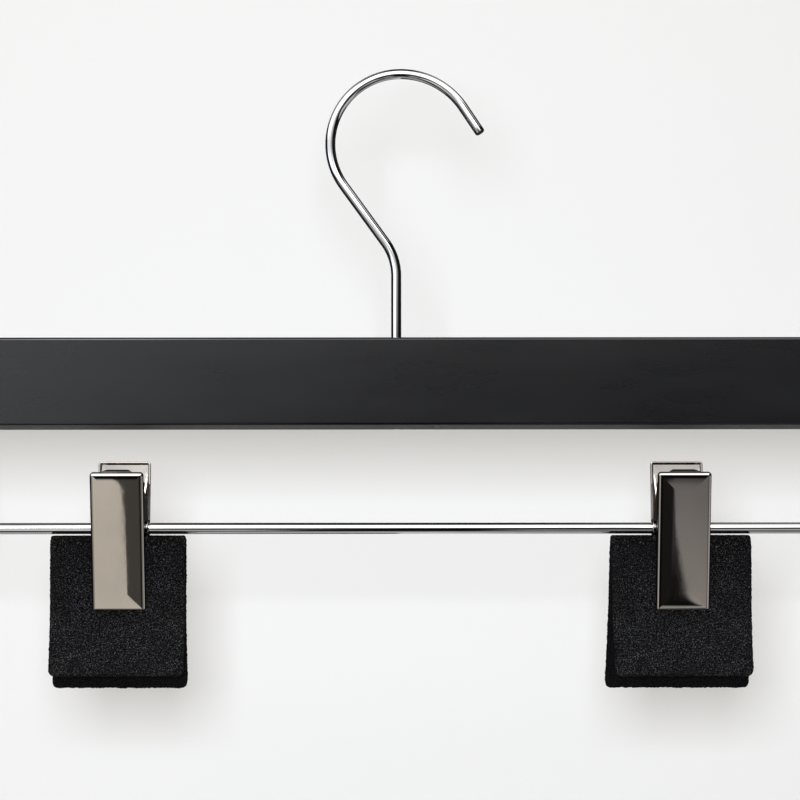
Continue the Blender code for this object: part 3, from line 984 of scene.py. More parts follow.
@dataclass
class Hook:
    """Swivel hook of bent wire, and the washer that its upset head bears on."""

    inner_radius: float = 24.6 * MM
    tip_arc_radius: float = 28.5 * MM
    crown_offset: float = 1.7 * MM
    diagonal_deg: float = 53.9
    tip_deg: float = 56.0
    tip_length: float = 12.0 * MM
    corner_radius: float = 21.6 * MM
    tip_spans: int = 4
    spans: int = 6
    tip_steps: int = 36
    main_steps: int = 80
    corner_steps: int = 28
    head_radius: float = 2.9 * MM
    head_height: float = 1.6 * MM
    head_rounding: float = 1.05 * MM
    shoulder_gap: float = 0.02 * MM
    shoulder_inset: float = 0.1 * MM
    shoulder_drop: float = 0.12 * MM
    washer_margin: float = 0.25 * MM
    washer_thickness: float = 0.8 * MM
    washer_gap: float = 0.15 * MM
    washer_edge: float = 0.12 * MM
    washer_segments: int = 48

    def washer_top(self, bar: Bar) -> float:
        """Height of the washer's upper face under the counterbore's floor."""
        return bar.bottom + bar.bore_depth - self.washer_gap

    def _middle_line(self, wire: Wire, tip: Vector, tip_arc: list[Vector], crown: float,
                     low: Vector) -> list[Vector]:
        """Bend the middle line.

        Args:
            wire: its stock.
            tip: middle of the tip's end.
            tip_arc: points of the arc from the tip to the crown.
            crown: height of the crown.
            low: where the shank meets its head.

        Returns:
            Points from beside the tip to the head.
        """
        main_radius = self.inner_radius + wire.radius
        main_centre = Vector((self.crown_offset, 0.0, crown - main_radius))
        line = between(tip_arc[0], tip, self.tip_spans)[::-1] + tip_arc
        line += arc(main_centre, main_radius, 90.0, 270.0 - self.diagonal_deg,
                    self.main_steps)[1:]
        corner_z = line[-1].z + line[-1].x * math.tan(math.radians(self.diagonal_deg))
        turn = 90.0 - self.diagonal_deg
        reach = self.corner_radius * math.tan(math.radians(turn / 2.0))
        bend = arc(Vector((-self.corner_radius, 0.0, corner_z - reach)), self.corner_radius,
                   turn, 0.0, self.corner_steps)
        line += between(line[-1], bend[0], self.spans) + bend
        return line + between(line[-1], low, self.spans) + [low]

    def build(self, wire: Wire, bar: Bar) -> bpy.types.Object:
        """Bend the hook.

        Args:
            wire: its stock.
            bar: what its head sits in.

        Returns:
            The hook.
        """
        crown = (self.inner_radius + wire.radius
                 - math.sqrt(self.inner_radius ** 2 - self.crown_offset ** 2))
        tip_centre = Vector((self.crown_offset, 0.0, crown - self.tip_arc_radius))
        tip_arc = arc(tip_centre, self.tip_arc_radius, 90.0 - self.tip_deg, 90.0, self.tip_steps)
        slope = math.radians(self.tip_deg)
        outward = Vector((math.cos(slope), 0.0, -math.sin(slope)))
        tip = tip_arc[0] + outward * self.tip_length
        head_top = self.washer_top(bar) - self.washer_thickness - self.washer_gap
        low = UP * head_top
        shoulder = low - UP * self.shoulder_gap
        line = self._middle_line(wire, tip, tip_arc, crown, low)
        stations = rounded_end(tip, -outward, wire.radius, wire.end_rounding)
        stations += [(point, wire.radius) for point in line]
        stations += [(shoulder, self.head_radius - self.shoulder_inset),
                     (shoulder - UP * self.shoulder_drop, self.head_radius)]
        stations += rounded_end(UP * (head_top - self.head_height), UP, self.head_radius,
                                self.head_rounding)[::-1]
        return sweep("swivel_hook", stations, wire.sides)

    def build_washer(self, wire: Wire, bar: Bar) -> bpy.types.Object:
        """Turn the washer.

        Args:
            wire: what goes through it.
            bar: whose counterbore holds it.

        Returns:
            The washer.
        """
        top = self.washer_top(bar)
        low = top - self.washer_thickness
        inner = wire.radius + bar.clearance
        outer = bar.bore_radius - self.washer_margin
        soft = self.washer_edge
        profile = [(inner + soft, top), (outer - soft, top), (outer, top - soft),
                   (outer, low + soft), (outer - soft, low), (inner + soft, low),
                   (inner, low + soft), (inner, top - soft)]
        return revolve("swivel_washer", profile, self.washer_segments)


@dataclass
class Rail:
    """Wire rail bent up at both ends into the bar."""

    drop: float = 37.3 * MM
    bend_radius: float = 8.0 * MM
    bend_steps: int = 20
    spans: int = 60
    end_gap: float = 0.3 * MM

    def level(self, bar: Bar) -> float:
        """Height of the rail's middle line."""
        return bar.bottom - self.drop

    def build(self, wire: Wire, bar: Bar) -> bpy.types.Object:
        """Bend the rail.

        Args:
            wire: its stock.
            bar: what holds its ends.

        Returns:
            The rail.
        """
        top = bar.bottom + bar.socket_depth - self.end_gap
        bends = []
        ends = []
        for sign, start_deg in ((-1.0, 180.0), (1.0, 270.0)):
            centre = Vector((sign * (bar.rail_half_span - self.bend_radius), 0.0,
                             self.level(bar) + self.bend_radius))
            bends.append(arc(centre, self.bend_radius, start_deg, start_deg + 90.0,
                             self.bend_steps))
            ends.append(rounded_end(Vector((sign * bar.rail_half_span, 0.0, top)), -UP,
                                    wire.radius, wire.end_rounding))
        line = bends[0] + between(bends[0][-1], bends[1][0], self.spans) + bends[1]
        stations = ends[0] + [(point, wire.radius) for point in line] + ends[1][::-1]
        return sweep("clip_rail", stations, wire.sides)


class Side(Enum):
    """The two sides of a clip, as directions along Y."""

    FRONT = -1.0
    REAR = 1.0


@dataclass(frozen=True)
class PanRing:
    """One ring round a pan, by its distances in from the outline and from the face.

    Each is a fixed distance and a share of the bend's radius. Where a sheet is given, the
    ring lies on the inner face, and the sheet comes off that radius.
    """

    inset: float
    depth: float
    inset_share: float = 0.0
    depth_share: float = 0.0
    sheet: float = 0.0
    least: float = 0.1 * MM

    def reach(self, bend: float) -> Pair:
        """Both distances where the pan is bent to a radius."""
        radius = max(bend - self.sheet, self.least) if self.sheet else bend
        return self.inset + self.inset_share * radius, self.depth + self.depth_share * radius


@dataclass
class Jaw:
    """One stamped jaw: a crowned pan with a tongue on its handle and two ears."""

    handle: float
    ear_inset: float
    has_tongue: bool
    width: float = 20.0 * MM
    sheet: float = 0.8 * MM
    tip_spread: float = 6.2 * MM
    face_offset: float = 10.32 * MM
    tip_reach: float = 29.1 * MM
    rim_depth: float = 2.3 * MM
    bend: float = 1.3 * MM
    bend_steps: int = 7
    tip_bend: float = 0.7 * MM
    least_corner: float = 0.02 * MM
    corner_points: int = 8
    crown: float = 0.15 * MM
    crown_reach: float = 1.5 * MM
    crown_rings: tuple[float, ...] = (5.5, 4.0, 3.0, 2.2, 1.5, 1.0, 0.6, 0.3)
    floor_margin: float = 3.0 * MM
    lip: float = 0.25 * MM
    lip_steps: int = 4
    ear_radius: float = 4.7 * MM
    ear_lower: float = 5.5 * MM
    ear_upper: float = 21.5 * MM
    ear_steps: int = 36
    flush: float = 0.05 * MM
    tongue_base: float = 11.4 * MM
    tongue_tip: float = 8.0 * MM
    tongue_depth: float = 5.2 * MM
    tongue_rise: float = 0.4 * MM
    plate_edge: float = 0.12 * MM
    rim_share: float = 0.6
    hole_radius: float = 2.8 * MM
    cutter_share: float = 1.2
    sharp_deg: float = 40.0

    @property
    def tilt(self) -> float:
        """Lean of the jaw that puts its tip at its distance from the clip's middle."""
        reach = math.hypot(self.face_offset, self.tip_reach)
        return math.acos(self.tip_spread / reach) - math.atan2(self.tip_reach, self.face_offset)

    def _loop(self, ring: PanRing) -> list[Place]:
        """Go round one ring of the pan's surface.

        Args:
            ring: how far in it lies.

        Returns:
            Its points as (x, inward, up).
        """
        side = ring.reach(self.bend)[0]
        half = self.width / 2.0 - side
        high = self.handle - side
        low = ring.reach(self.tip_bend)[0] - self.tip_reach
        points = []
        for corner in range(4):
            right = corner in (0, 3)
            upper = corner in (0, 1)
            bend = self.bend if upper else self.tip_bend
            radius = max(bend - ring.reach(bend)[0], self.least_corner)
            centre_x = (half - radius) * (1.0 if right else -1.0)
            centre_z = high - radius if upper else low + radius
            for index in range(self.corner_points + 1):
                angle = QUARTER * (corner + index / self.corner_points)
                tip_share = max(-math.sin(angle), 0.0)
                local = self.bend + (self.tip_bend - self.bend) * tip_share
                points.append((centre_x + radius * math.cos(angle), ring.reach(local)[1],
                               centre_z + radius * math.sin(angle)))
        return points

    def _rings(self) -> list[PanRing]:
        """Step from the face's middle over the rim to the inner face's middle.

        Returns:
            The rings in that order.
        """
        edge = self.rim_depth - self.lip
        lip = quarter(self.lip_steps)
        rings = [PanRing(beyond * MM, self.crown * math.exp(-beyond * MM / self.crown_reach), 1.0)
                 for beyond in self.crown_rings]
        rings += [PanRing(0.0, self.crown * cosine, 1.0 - sine, 1.0 - cosine)
                  for sine, cosine in quarter(self.bend_steps)]
        rings += [PanRing(self.lip * (1.0 - cosine), edge + self.lip * sine)
                  for sine, cosine in lip]
        rings += [PanRing(self.sheet - self.lip * (1.0 - sine), edge + self.lip * cosine)
                  for sine, cosine in lip]
        rings += [PanRing(self.sheet, self.sheet, 1.0 - sine, 1.0 - cosine, self.sheet)
                  for sine, cosine in lip[::-1]]
        return rings + [PanRing(self.floor_margin, self.sheet, 1.0)]

    def ear_outline(self) -> list[Pair]:
        """Draw an ear from its base line on the plate round the pivot.

        Returns:
            Its corners as (inward, up).
        """
        base = (self.bend if self.ear_inset == 0.0 else self.sheet / 2.0) - self.face_offset
        top = Vector((base, self.ear_upper))
        low = Vector((base, -self.ear_lower))
        start = math.atan2(low.y, low.x) + math.acos(self.ear_radius / low.length)
        end = math.atan2(top.y, top.x) - math.acos(self.ear_radius / top.length)
        angles = [start + (end - start) * index / self.ear_steps
                  for index in range(self.ear_steps + 1)]
        return [tuple(low), *((self.ear_radius * math.cos(angle),
                               self.ear_radius * math.sin(angle)) for angle in angles), tuple(top)]

    def _add_ears(self, jaw: bpy.types.Object) -> None:
        """Join the two ears to the pan.

        Args:
            jaw: the pan.
        """
        on_edge = Matrix.Rotation(QUARTER, 4, "Z") @ Matrix.Rotation(QUARTER, 4, "X")
        outer = self.width / 2.0 - self.flush - self.ear_inset
        for sign in (-1.0, 1.0):
            ear = flat_piece("ear", self.ear_outline(), self.sheet, self.plate_edge)
            place = Matrix.Translation((sign * (outer - self.sheet / 2.0), 0.0, 0.0))
            ear.data.transform(place @ on_edge)
            combine(jaw, ear, Join.ADD)

    def _add_tongue(self, jaw: bpy.types.Object) -> None:
        """Join the tongue that is folded in from the handle's end.

        Args:
            jaw: the pan.
        """
        root = self.bend - self.face_offset
        tip = self.tongue_depth - self.face_offset
        outline = [(-self.tongue_base / 2.0, root), (self.tongue_base / 2.0, root),
                   (self.tongue_tip / 2.0, tip), (-self.tongue_tip / 2.0, tip)]
        tongue = flat_piece("tongue", outline, self.sheet, self.plate_edge)
        tongue.data.transform(Matrix.Translation(
            (0.0, 0.0, self.handle + self.tongue_rise - self.sheet / 2.0)))
        combine(jaw, tongue, Join.ADD)

    def _mark_rim(self, jaw: bpy.types.Object) -> None:
        """Store how far the pan's outside turns away from its face, which the finish paints as a
        dark reflection on the rim.

        Args:
            jaw: the upright jaw.
        """
        stored = jaw.data.attributes.new("rim", "FLOAT", "POINT")
        within = self.rim_share * self.bend
        for vertex in jaw.data.vertices:
            outermost = (abs(vertex.co.x) > self.width / 2.0 - within
                         or vertex.co.z > self.handle - within)
            shallow = vertex.co.y < self.rim_depth - self.lip - self.face_offset
            turned = 1.0 - abs(vertex.normal.y)
            stored.data[vertex.index].value = turned if outermost and shallow else 0.0

    def build(self, name: str, pivot: Vector, side: Side) -> bpy.types.Object:
        """Stamp the jaw.

        Args:
            name: the object's name.
            pivot: middle of the clip's pivot.
            side: which jaw of the clip it is.

        Returns:
            The jaw in its place.
        """
        loops = [self._loop(ring) for ring in self._rings()]
        points = [(x, inward - self.face_offset, up) for loop in loops for x, inward, up in loop]
        jaw = mesh_piece(name, points, ring_faces(len(loops), len(loops[0])))
        self._add_ears(jaw)
        if self.has_tongue:
            self._add_tongue(jaw)
        cut_round(jaw, self.hole_radius, self.cutter_share * self.width,
                  Matrix.Rotation(QUARTER, 4, "Y"))
        self._mark_rim(jaw)
        turn = 0.0 if side is Side.FRONT else math.pi
        jaw.data.transform(Matrix.Translation(pivot) @ Matrix.Rotation(turn, 4, "Z")
                           @ Matrix.Rotation(self.tilt, 4, "X"))
        return settle(jaw, self.sharp_deg)


@dataclass
class PivotTube:
    """Tube through the ears, flared over at both ends."""

    inner: float = 2.2 * MM
    outer: float = 2.7 * MM
    flare: float = 3.5 * MM
    start: float = 10.15 * MM
    thickness: float = 0.6 * MM
    rounding: float = 0.24 * MM
    outer_steps: int = 5
    inner_steps: int = 4
    segments: int = 64

    def build(self, name: str, pivot: Vector) -> bpy.types.Object:
        """Turn the tube and lay it along the rail.

        Args:
            name: the object's name.
            pivot: middle of the clip's pivot.

        Returns:
            The tube in its place.
        """
        end = self.start + self.thickness
        half = [(self.outer, self.start)]
        half += [(self.flare - self.rounding * (1.0 - cosine), end - self.rounding * (1.0 - sine))
                 for sine, cosine in quarter(self.outer_steps)]
        half += [(self.inner + self.rounding * (1.0 - cosine), end - self.rounding * (1.0 - sine))
                 for sine, cosine in quarter(self.inner_steps)[::-1]]
        profile = half + [(radius, -height) for radius, height in half[::-1]]
        tube = revolve(name, profile, self.segments)
        tube.data.transform(Matrix.Translation(pivot) @ Matrix.Rotation(QUARTER, 4, "Y"))
        return tube


@dataclass
class Coil:
    """Torsion spring round the tube, with one straight leg inside each handle."""

    wire_radius: float = 0.55 * MM
    coil_radius: float = 3.75 * MM
    pitch: float = 1.7 * MM
    windings: int = 6
    steps_per_turn: int = 28
    leg_reach: float = 15.0 * MM
    leg_gap: float = 0.3 * MM
    leg_spans: int = 6
    sides: int = 14

    def _leg(self, jaw: Jaw, side: Side) -> Vector:
        """Where a leg bears inside a handle, from the pivot.

        Args:
            jaw: what it bears on.
            side: which leg it is.

        Returns:
            The leg's end, at the pivot's middle.
        """
        tilt = jaw.tilt
        inward = jaw.sheet + self.leg_gap + self.wire_radius - jaw.face_offset
        depth = inward * math.cos(tilt) - self.leg_reach * math.sin(tilt)
        rise = inward * math.sin(tilt) + self.leg_reach * math.cos(tilt)
        return Vector((0.0, -side.value * depth, rise))

    def build(self, name: str, pivot: Vector, jaw: Jaw) -> tuple[bpy.types.Object, float]:
        """Wind the spring.

        Args:
            name: the object's name.
            pivot: middle of the clip's pivot.
            jaw: what its legs bear on.

        Returns:
            The spring, and half of the coil's length.
        """
        front, rear = self._leg(jaw, Side.FRONT), self._leg(jaw, Side.REAR)
        lean = math.acos(self.coil_radius / front.length)
        start = math.atan2(front.z, front.y) + lean
        end = math.atan2(rear.z, rear.y) - lean + 2.0 * math.pi * self.windings
        turns = (end - start) / (2.0 * math.pi)
        half = turns * self.pitch / 2.0
        front.x, rear.x = -half, half
        steps = round(turns * self.steps_per_turn)
        line = []
        for index in range(steps + 1):
            share = index / steps
            angle = start + (end - start) * share
            line.append(Vector((half * (2.0 * share - 1.0), self.coil_radius * math.cos(angle),
                                self.coil_radius * math.sin(angle))))
        line = [front, *between(front, line[0], self.leg_spans), *line,
                *between(line[-1], rear, self.leg_spans), rear]
        stations = [(point + pivot, self.wire_radius) for point in line]
        return sweep(name, stations, self.sides), half


@dataclass
class FoamStrip:
    """One strip of foam folded under the rail, with a pocket at the fold for the clip's ears.

    Lengths along the strip start at the front flap's bottom edge, drops at the rail's middle
    line. A pair of distances is where a change begins and where it is complete.
    """

    width: float
    shift: float
    front_lean: float
    rear_lean: float
    front_flare: float
    rear_flare: float
    front_length: float = 52.4 * MM
    rear_length: float = 58.1 * MM
    top_drop: float = 2.6 * MM
    thickness: float = 4.0 * MM
    fold_gap: float = 0.3 * MM
    tip_reach: float = 28.74 * MM
    pinch_thickness: float = 3.4 * MM
    pinch_reach: float = 9.0 * MM
    pinch_sides: Pair = (9.0 * MM, 16.0 * MM)
    pinch_aside: float = 0.55
    pinch_start: float = 0.6
    pinch_face: float = 3.62 * MM
    swell: float = 0.28 * MM
    swell_sides: Pair = (8.0 * MM, 17.0 * MM)
    splay: float = 9.5 * MM
    splay_curl: float = 0.6
    probe: float = 0.5 * MM
    corner: float = 2.2 * MM
    edge: float = 0.9 * MM
    edge_steps: int = 4
    pocket_half: float = 10.95 * MM
    pocket_wall: float = 0.12 * MM
    ear_half: float = 10.1 * MM
    ring_drop: float = 3.75 * MM
    ear_drop: float = 5.05 * MM
    cell: float = 0.62 * MM
    fold_cell: float = 0.15 * MM
    sharp_deg: float = 60.0
    roughness: float = 0.10 * MM
    rough_cell: float = 1.1 * MM
    rough_layer: float = 0.01
    rough_detail: Pair = (0.6, 2.3)
    rough_inside: float = 0.35
    sway: float = 0.22 * MM
    sway_cell: float = 14.0 * MM
    sway_seed: float = 900.0
    sway_border: float = 3.0 * MM
    sway_fold: Pair = (4.0 * MM, 14.0 * MM)
    fuzz: float = 0.45 * MM
    fuzz_cell: float = 0.75 * MM
    fuzz_layer: float = 7.0 * MM

    @property
    def fold_drop(self) -> float:
        """Drop of the fold's centre below the rail."""
        return self.top_drop + self.fold_gap / 2.0 + self.thickness

    @property
    def fold_radius(self) -> float:
        """Radius of the foam's middle round the fold."""
        return (self.fold_gap + self.thickness) / 2.0

    @cached_property
    def fold(self) -> Pair:
        """Where the fold starts and ends along the strip."""
        front = self.front_length - (self.fold_drop - self.top_drop)
        return front, front + math.pi * self.fold_radius

    @cached_property
    def total(self) -> float:
        """Length of the whole strip."""
        return self.fold[1] + self.rear_length - (self.fold_drop - self.top_drop)

    def face(self, drop: float, x: float) -> float:
        """Distance of a flap's outer face from the clip's middle plane.

        Args:
            drop: below the rail.
            x: distance from the clip's middle.

        Returns:
            The distance, least where the jaw's tip presses.
        """
        fold = self.fold_gap / 2.0 + self.thickness
        pinch = self.pinch_face + self.swell * smooth_step(abs(x), *self.swell_sides)
        if drop <= self.tip_reach:
            start = self.pinch_start * self.tip_reach
            return fold + (pinch - fold) * smooth_step(drop, start, self.tip_reach)
        lowest = self.rear_length + self.top_drop
        share = (drop - self.tip_reach) / (lowest - self.tip_reach)
        curl = 1.0 + self.splay_curl - self.splay_curl * share
        return pinch + (self.splay - pinch) * share * share * curl

    def depth(self, drop: float, x: float) -> float:
        """Foam thickness, less where the jaw tips squeeze it.

        Args:
            drop: below the rail.
            x: distance from the clip's middle.

        Returns:
            The thickness.
        """
        near = 1.0 - smooth_step(abs(drop - self.tip_reach), 0.0, self.pinch_reach)
        under = 1.0 - smooth_step(abs(x), *self.pinch_sides)
        share = self.pinch_aside + (1.0 - self.pinch_aside) * under
        return self.thickness - (self.thickness - self.pinch_thickness) * near * share

    def pocket(self, x: float) -> float:
        """Least drop of the foam's top at a distance from the clip's middle."""
        if abs(x) >= self.pocket_half - LINE_GAP:
            return 0.0
        return self.ring_drop if abs(x) > self.ear_half else self.ear_drop

    def _grid(self, low: float, high: float, stops: Sequence[float],
              cells: Sequence[float]) -> list[float]:
        """Grid lines over the strip, which close up towards its rounded edges.

        Args:
            low: one edge.
            high: the other edge.
            stops: places between them that get a line.
            cells: spacing before, between and after the stops.

        Returns:
            The lines' places in order.
        """
        rim = [self.edge * (1.0 - cosine) for _, cosine in quarter(self.edge_steps)]
        lines = [low + inward for inward in rim] + [high - inward for inward in rim]
        places = [low + self.edge, *stops, high - self.edge]
        for first, second, cell in zip(places, places[1:], cells):
            count = max(1, round((second - first) / cell))
            lines += [first + (second - first) * index / count for index in range(count + 1)]
        return sorted({round(value, LINE_PLACES) for value in lines})

    def _columns(self) -> list[float]:
        """Grid lines across the strip, with the pocket's edges among them.

        Returns:
            The lines' places from the clip's middle.
        """
        right = (self.ear_half, self.ear_half + self.pocket_wall,
                 self.pocket_half - self.pocket_wall, self.pocket_half)
        stops = [-place for place in right[::-1]] + list(right)
        return self._grid(self.shift - self.width / 2.0, self.shift + self.width / 2.0, stops,
                          [self.cell] * (len(stops) + 1))

    def _middle_line(self, along: float, x: float) -> tuple[Vector, Vector, float]:
        """Middle of the foam at a length along the strip.

        Args:
            along: length along the strip.
            x: distance from the clip's middle.

        Returns:
            Place as (0, y, z) under the rail, outward direction and thickness.
        """
        start, end = self.fold
        if start <= along <= end:
            angle = (along - start) / self.fold_radius
            outward = Vector((0.0, -math.cos(angle), math.sin(angle)))
            centre = Vector((0.0, 0.0, -self.fold_drop))
            return centre + outward * self.fold_radius, outward, self.thickness
        sign = -1.0 if along < start else 1.0
        drop = self.fold_drop + self._past_fold(along)
        depth = self.depth(drop, x)
        rise = self.face(drop + self.probe, x) - self.face(drop - self.probe, x)
        outward = Vector((0.0, sign, rise / (2.0 * self.probe))).normalized()
        return Vector((0.0, sign * (self.face(drop, x) - depth / 2.0), -drop)), outward, depth

    def _past_fold(self, along: float) -> float:
        """How far a place on a flap is from the fold."""
        return max(self.fold[0] - along, along - self.fold[1], 0.0)

    def _across(self, aside: float, along: float, end: float) -> float:
        """Place across the strip, with its round corners, lean and flare.

        Args:
            aside: distance from the strip's middle on the flat strip.
            along: length along the strip.
            end: distance from the nearer end.

        Returns:
            The place from the clip's middle.
        """
        half = self.width / 2.0
        beyond = max(self.corner - end, 0.0)
        narrowed = self.corner - math.sqrt(self.corner ** 2 - beyond ** 2)
        lean, flare = ((self.front_lean, self.front_flare) if along < self.fold[0]
                       else (self.rear_lean, self.rear_flare))
        drift = (lean + flare * aside / half) * self._past_fold(along) / self.front_length
        return self.shift + aside * (half - narrowed) / half + drift

    def _relief(self, x: float, along: float, layer: float, border: float) -> float:
        """How far the surface stands out, from its pebbles and the flap's slow waves.

        Args:
            x: distance from the clip's middle on the flat strip.
            along: length along the strip.
            layer: 1 on the outer face, -1 on the inner one.
            border: distance from the nearest edge.

        Returns:
            The height along the outer face's direction.
        """
        gain, scale = self.rough_detail
        seed = Vector((x, along, layer * self.rough_layer)) / self.rough_cell
        pebbles = noise.noise(seed) + gain * noise.noise(seed * scale)
        slow = (Vector((x, along, 0.0)) / self.sway_cell
                + Vector((self.width * self.sway_seed, 0.0, 0.0)))
        wave = noise.noise(slow) * smooth_step(border, 0.0, self.sway_border)
        flap = smooth_step(self._past_fold(along), *self.sway_fold)
        inside = self.rough_inside if layer < 0.0 else 1.0
        return layer * pebbles * self.roughness * inside + wave * self.sway * flap

    def _vertex(self, x: float, along: float, layer: float) -> tuple[Vector, Place]:
        """Place one grid vertex.

        Args:
            x: distance from the clip's middle on the flat strip.
            along: length along the strip.
            layer: 1 on the outer face, -1 on the inner one.

        Returns:
            Its place under the rail, and its flat coordinates.
        """
        aside = x - self.shift
        side = self.width / 2.0 - abs(aside)
        end = min(along, self.total - along)
        border = min(side, end)
        rise = max(self.edge - border, 0.0)
        lost = self.edge - math.sqrt(max(self.edge ** 2 - rise ** 2, 0.0))
        middle, outward, depth = self._middle_line(along, x)
        place = middle + outward * (layer * (depth / 2.0 - lost))
        place.x = self._across(aside, along, end)
        place += outward * self._relief(x, along, layer, border)
        if border < self.edge:
            fuzz = noise.noise(Vector((x, along, self.fuzz_layer)) / self.fuzz_cell)
            pull = self.fuzz * fuzz * (1.0 - border / self.edge)
            if side <= end + TIE_GAP:
                place.x += math.copysign(pull, aside)
            else:
                place.z -= pull
        if along < self.fold[0]:
            place.y = min(place.y, -self.fold_gap / 2.0)
        elif along > self.fold[1]:
            place.y = max(place.y, self.fold_gap / 2.0)
        place.z = min(place.z, -self.pocket(x))
        return place, (x, along, layer * depth / 2.0)

    @staticmethod
    def _faces(across: int, along: int) -> list[Face]:
        """Faces of both layers and of the walls round them.

        Args:
            across: grid lines across the strip.
            along: grid lines along it.

        Returns:
            Vertex numbers of each face.
        """
        layer_size = across * along
        faces: list[Face] = []
        for row, column in product(range(along - 1), range(across - 1)):
            first = row * across + column
            ring = (first, first + 1, first + across + 1, first + across)
            faces += [ring, tuple(layer_size + index for index in ring[::-1])]
        rim = list(range(across)) + [row * across + across - 1 for row in range(1, along)]
        rim += list(range(layer_size - 2, layer_size - across - 1, -1))
        rim += [row * across for row in range(along - 2, 0, -1)]
        faces += [(second, first, layer_size + first, layer_size + second)
                  for first, second in zip(rim, rim[1:] + rim[:1])]
        return faces

    def build(self, name: str, clip_x: float, rail_z: float) -> bpy.types.Object:
        """Form the folded strip.

        Args:
            name: the object's name.
            clip_x: place of the clip's middle along the rail.
            rail_z: height of the rail's middle line.

        Returns:
            The strip as one closed mesh.
        """
        columns = self._columns()
        rows = self._grid(0.0, self.total, self.fold, (self.cell, self.fold_cell, self.cell))
        points: list[Place] = []
        flats: list[Place] = []
        for layer, along, x in product((1.0, -1.0), rows, columns):
            place, flat = self._vertex(x, along, layer)
            points.append((place.x + clip_x, place.y, place.z + rail_z))
            flats.append(flat)
        strip = mesh_piece(name, points, self._faces(len(columns), len(rows)), self.sharp_deg)
        store(strip, "flat", flats)
        return strip


@dataclass
class Clip:
    """One clip on the rail: tube, spring, two jaws and the folded foam."""

    hand: str
    x: float
    foam: FoamStrip

    def build(self, rail_z: float) -> None:
        """Make, dress and hang every piece of the clip.

        Args:
            rail_z: height of the rail's middle line.
        """
        pivot = Vector((self.x, 0.0, rail_z))
        front = Jaw(handle=23.02 * MM, ear_inset=0.0, has_tongue=True)
        rear = Jaw(handle=26.3 * MM, ear_inset=1.1 * MM, has_tongue=False)
        hand = self.hand
        stand_in(front.build(hand + "_front_plate", pivot, Side.FRONT), hand + "_front",
                 hand + "_front_jaw", Finish.NICKEL)
        stand_in(rear.build(hand + "_rear_plate", pivot, Side.REAR), hand + "_rear",
                 hand + "_rear_jaw", Finish.NICKEL)
        stand_in(PivotTube().build(hand + "_tube", pivot), hand + "_carrier",
                 hand + "_pivot_tube", Finish.NICKEL)
        self._spring(pivot, front)
        self._foam(rail_z)

    def _spring(self, pivot: Vector, jaw: Jaw) -> None:
        """Wind the spring, dress it and hide the solid that it stands in for.

        Args:
            pivot: middle of the clip's pivot.
            jaw: what its legs bear on.
        """
        coil, half = Coil().build(self.hand + "_coil", pivot, jaw)
        dress(coil, Finish.SPRING)
        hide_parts(self.hand + "_spring")
        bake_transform(coil)
        LOG.info("%s: twists between the jaws", coil.name)

    def _foam(self, rail_z: float) -> None:
        """Form the folded foam, dress it and hide the pads that it stands in for.

        Args:
            rail_z: height of the rail's middle line.
        """
        strip = self.foam.build(self.hand + "_foam_strip", self.x, rail_z)
        dress(strip, Finish.FOAM)
        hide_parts(self.hand + "_front_pad", self.hand + "_rear_pad")
        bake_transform(strip)
        LOG.info("%s: %d faces, folds between the jaws", strip.name, len(strip.data.polygons))


# Studio

class Ray(Enum):
    """The kinds of ray that can see a piece."""

    CAMERA = "camera"
    DIFFUSE = "diffuse"
    GLOSSY = "glossy"
    TRANSMISSION = "transmission"
    VOLUME = "volume_scatter"
    SHADOW = "shadow"


@dataclass(frozen=True)
class SoftBox:
    """A glow on the reflection dome, between two bearings and two heights, in degrees.

    Bearings run from the front towards +X. The soft edges are left, right, low and high, and
    the slant moves the side edges with the height above the pivot. A box that reaches past
    the wrap counts its bearings from 0 to 360.
    """

    level: float
    bearings: Pair
    heights: Pair
    soft: tuple[float, float, float, float]
    tint: Colour = (1.0, 1.0, 1.0)
    slant: float = 0.0
    pivot: float = 0.0
    wrap: float = 200.0

    def share(self, bearing: Signal, height: Signal) -> Signal:
        """How much of the glow shows in a direction.

        Args:
            bearing: from the front, in degrees.
            height: in degrees.

        Returns:
            0 beside the box to 1 on it.
        """
        if self.bearings[1] > self.wrap:
            bearing = bearing.graph.maths("MODULO", bearing + FULL_TURN, FULL_TURN)
        if self.slant:
            bearing = bearing + (height - self.pivot) * self.slant
        left, right, low, high = self.soft
        return (bearing.band(self.bearings[0], left, self.bearings[1], right)
                * height.band(self.heights[0], low, self.heights[1], high))


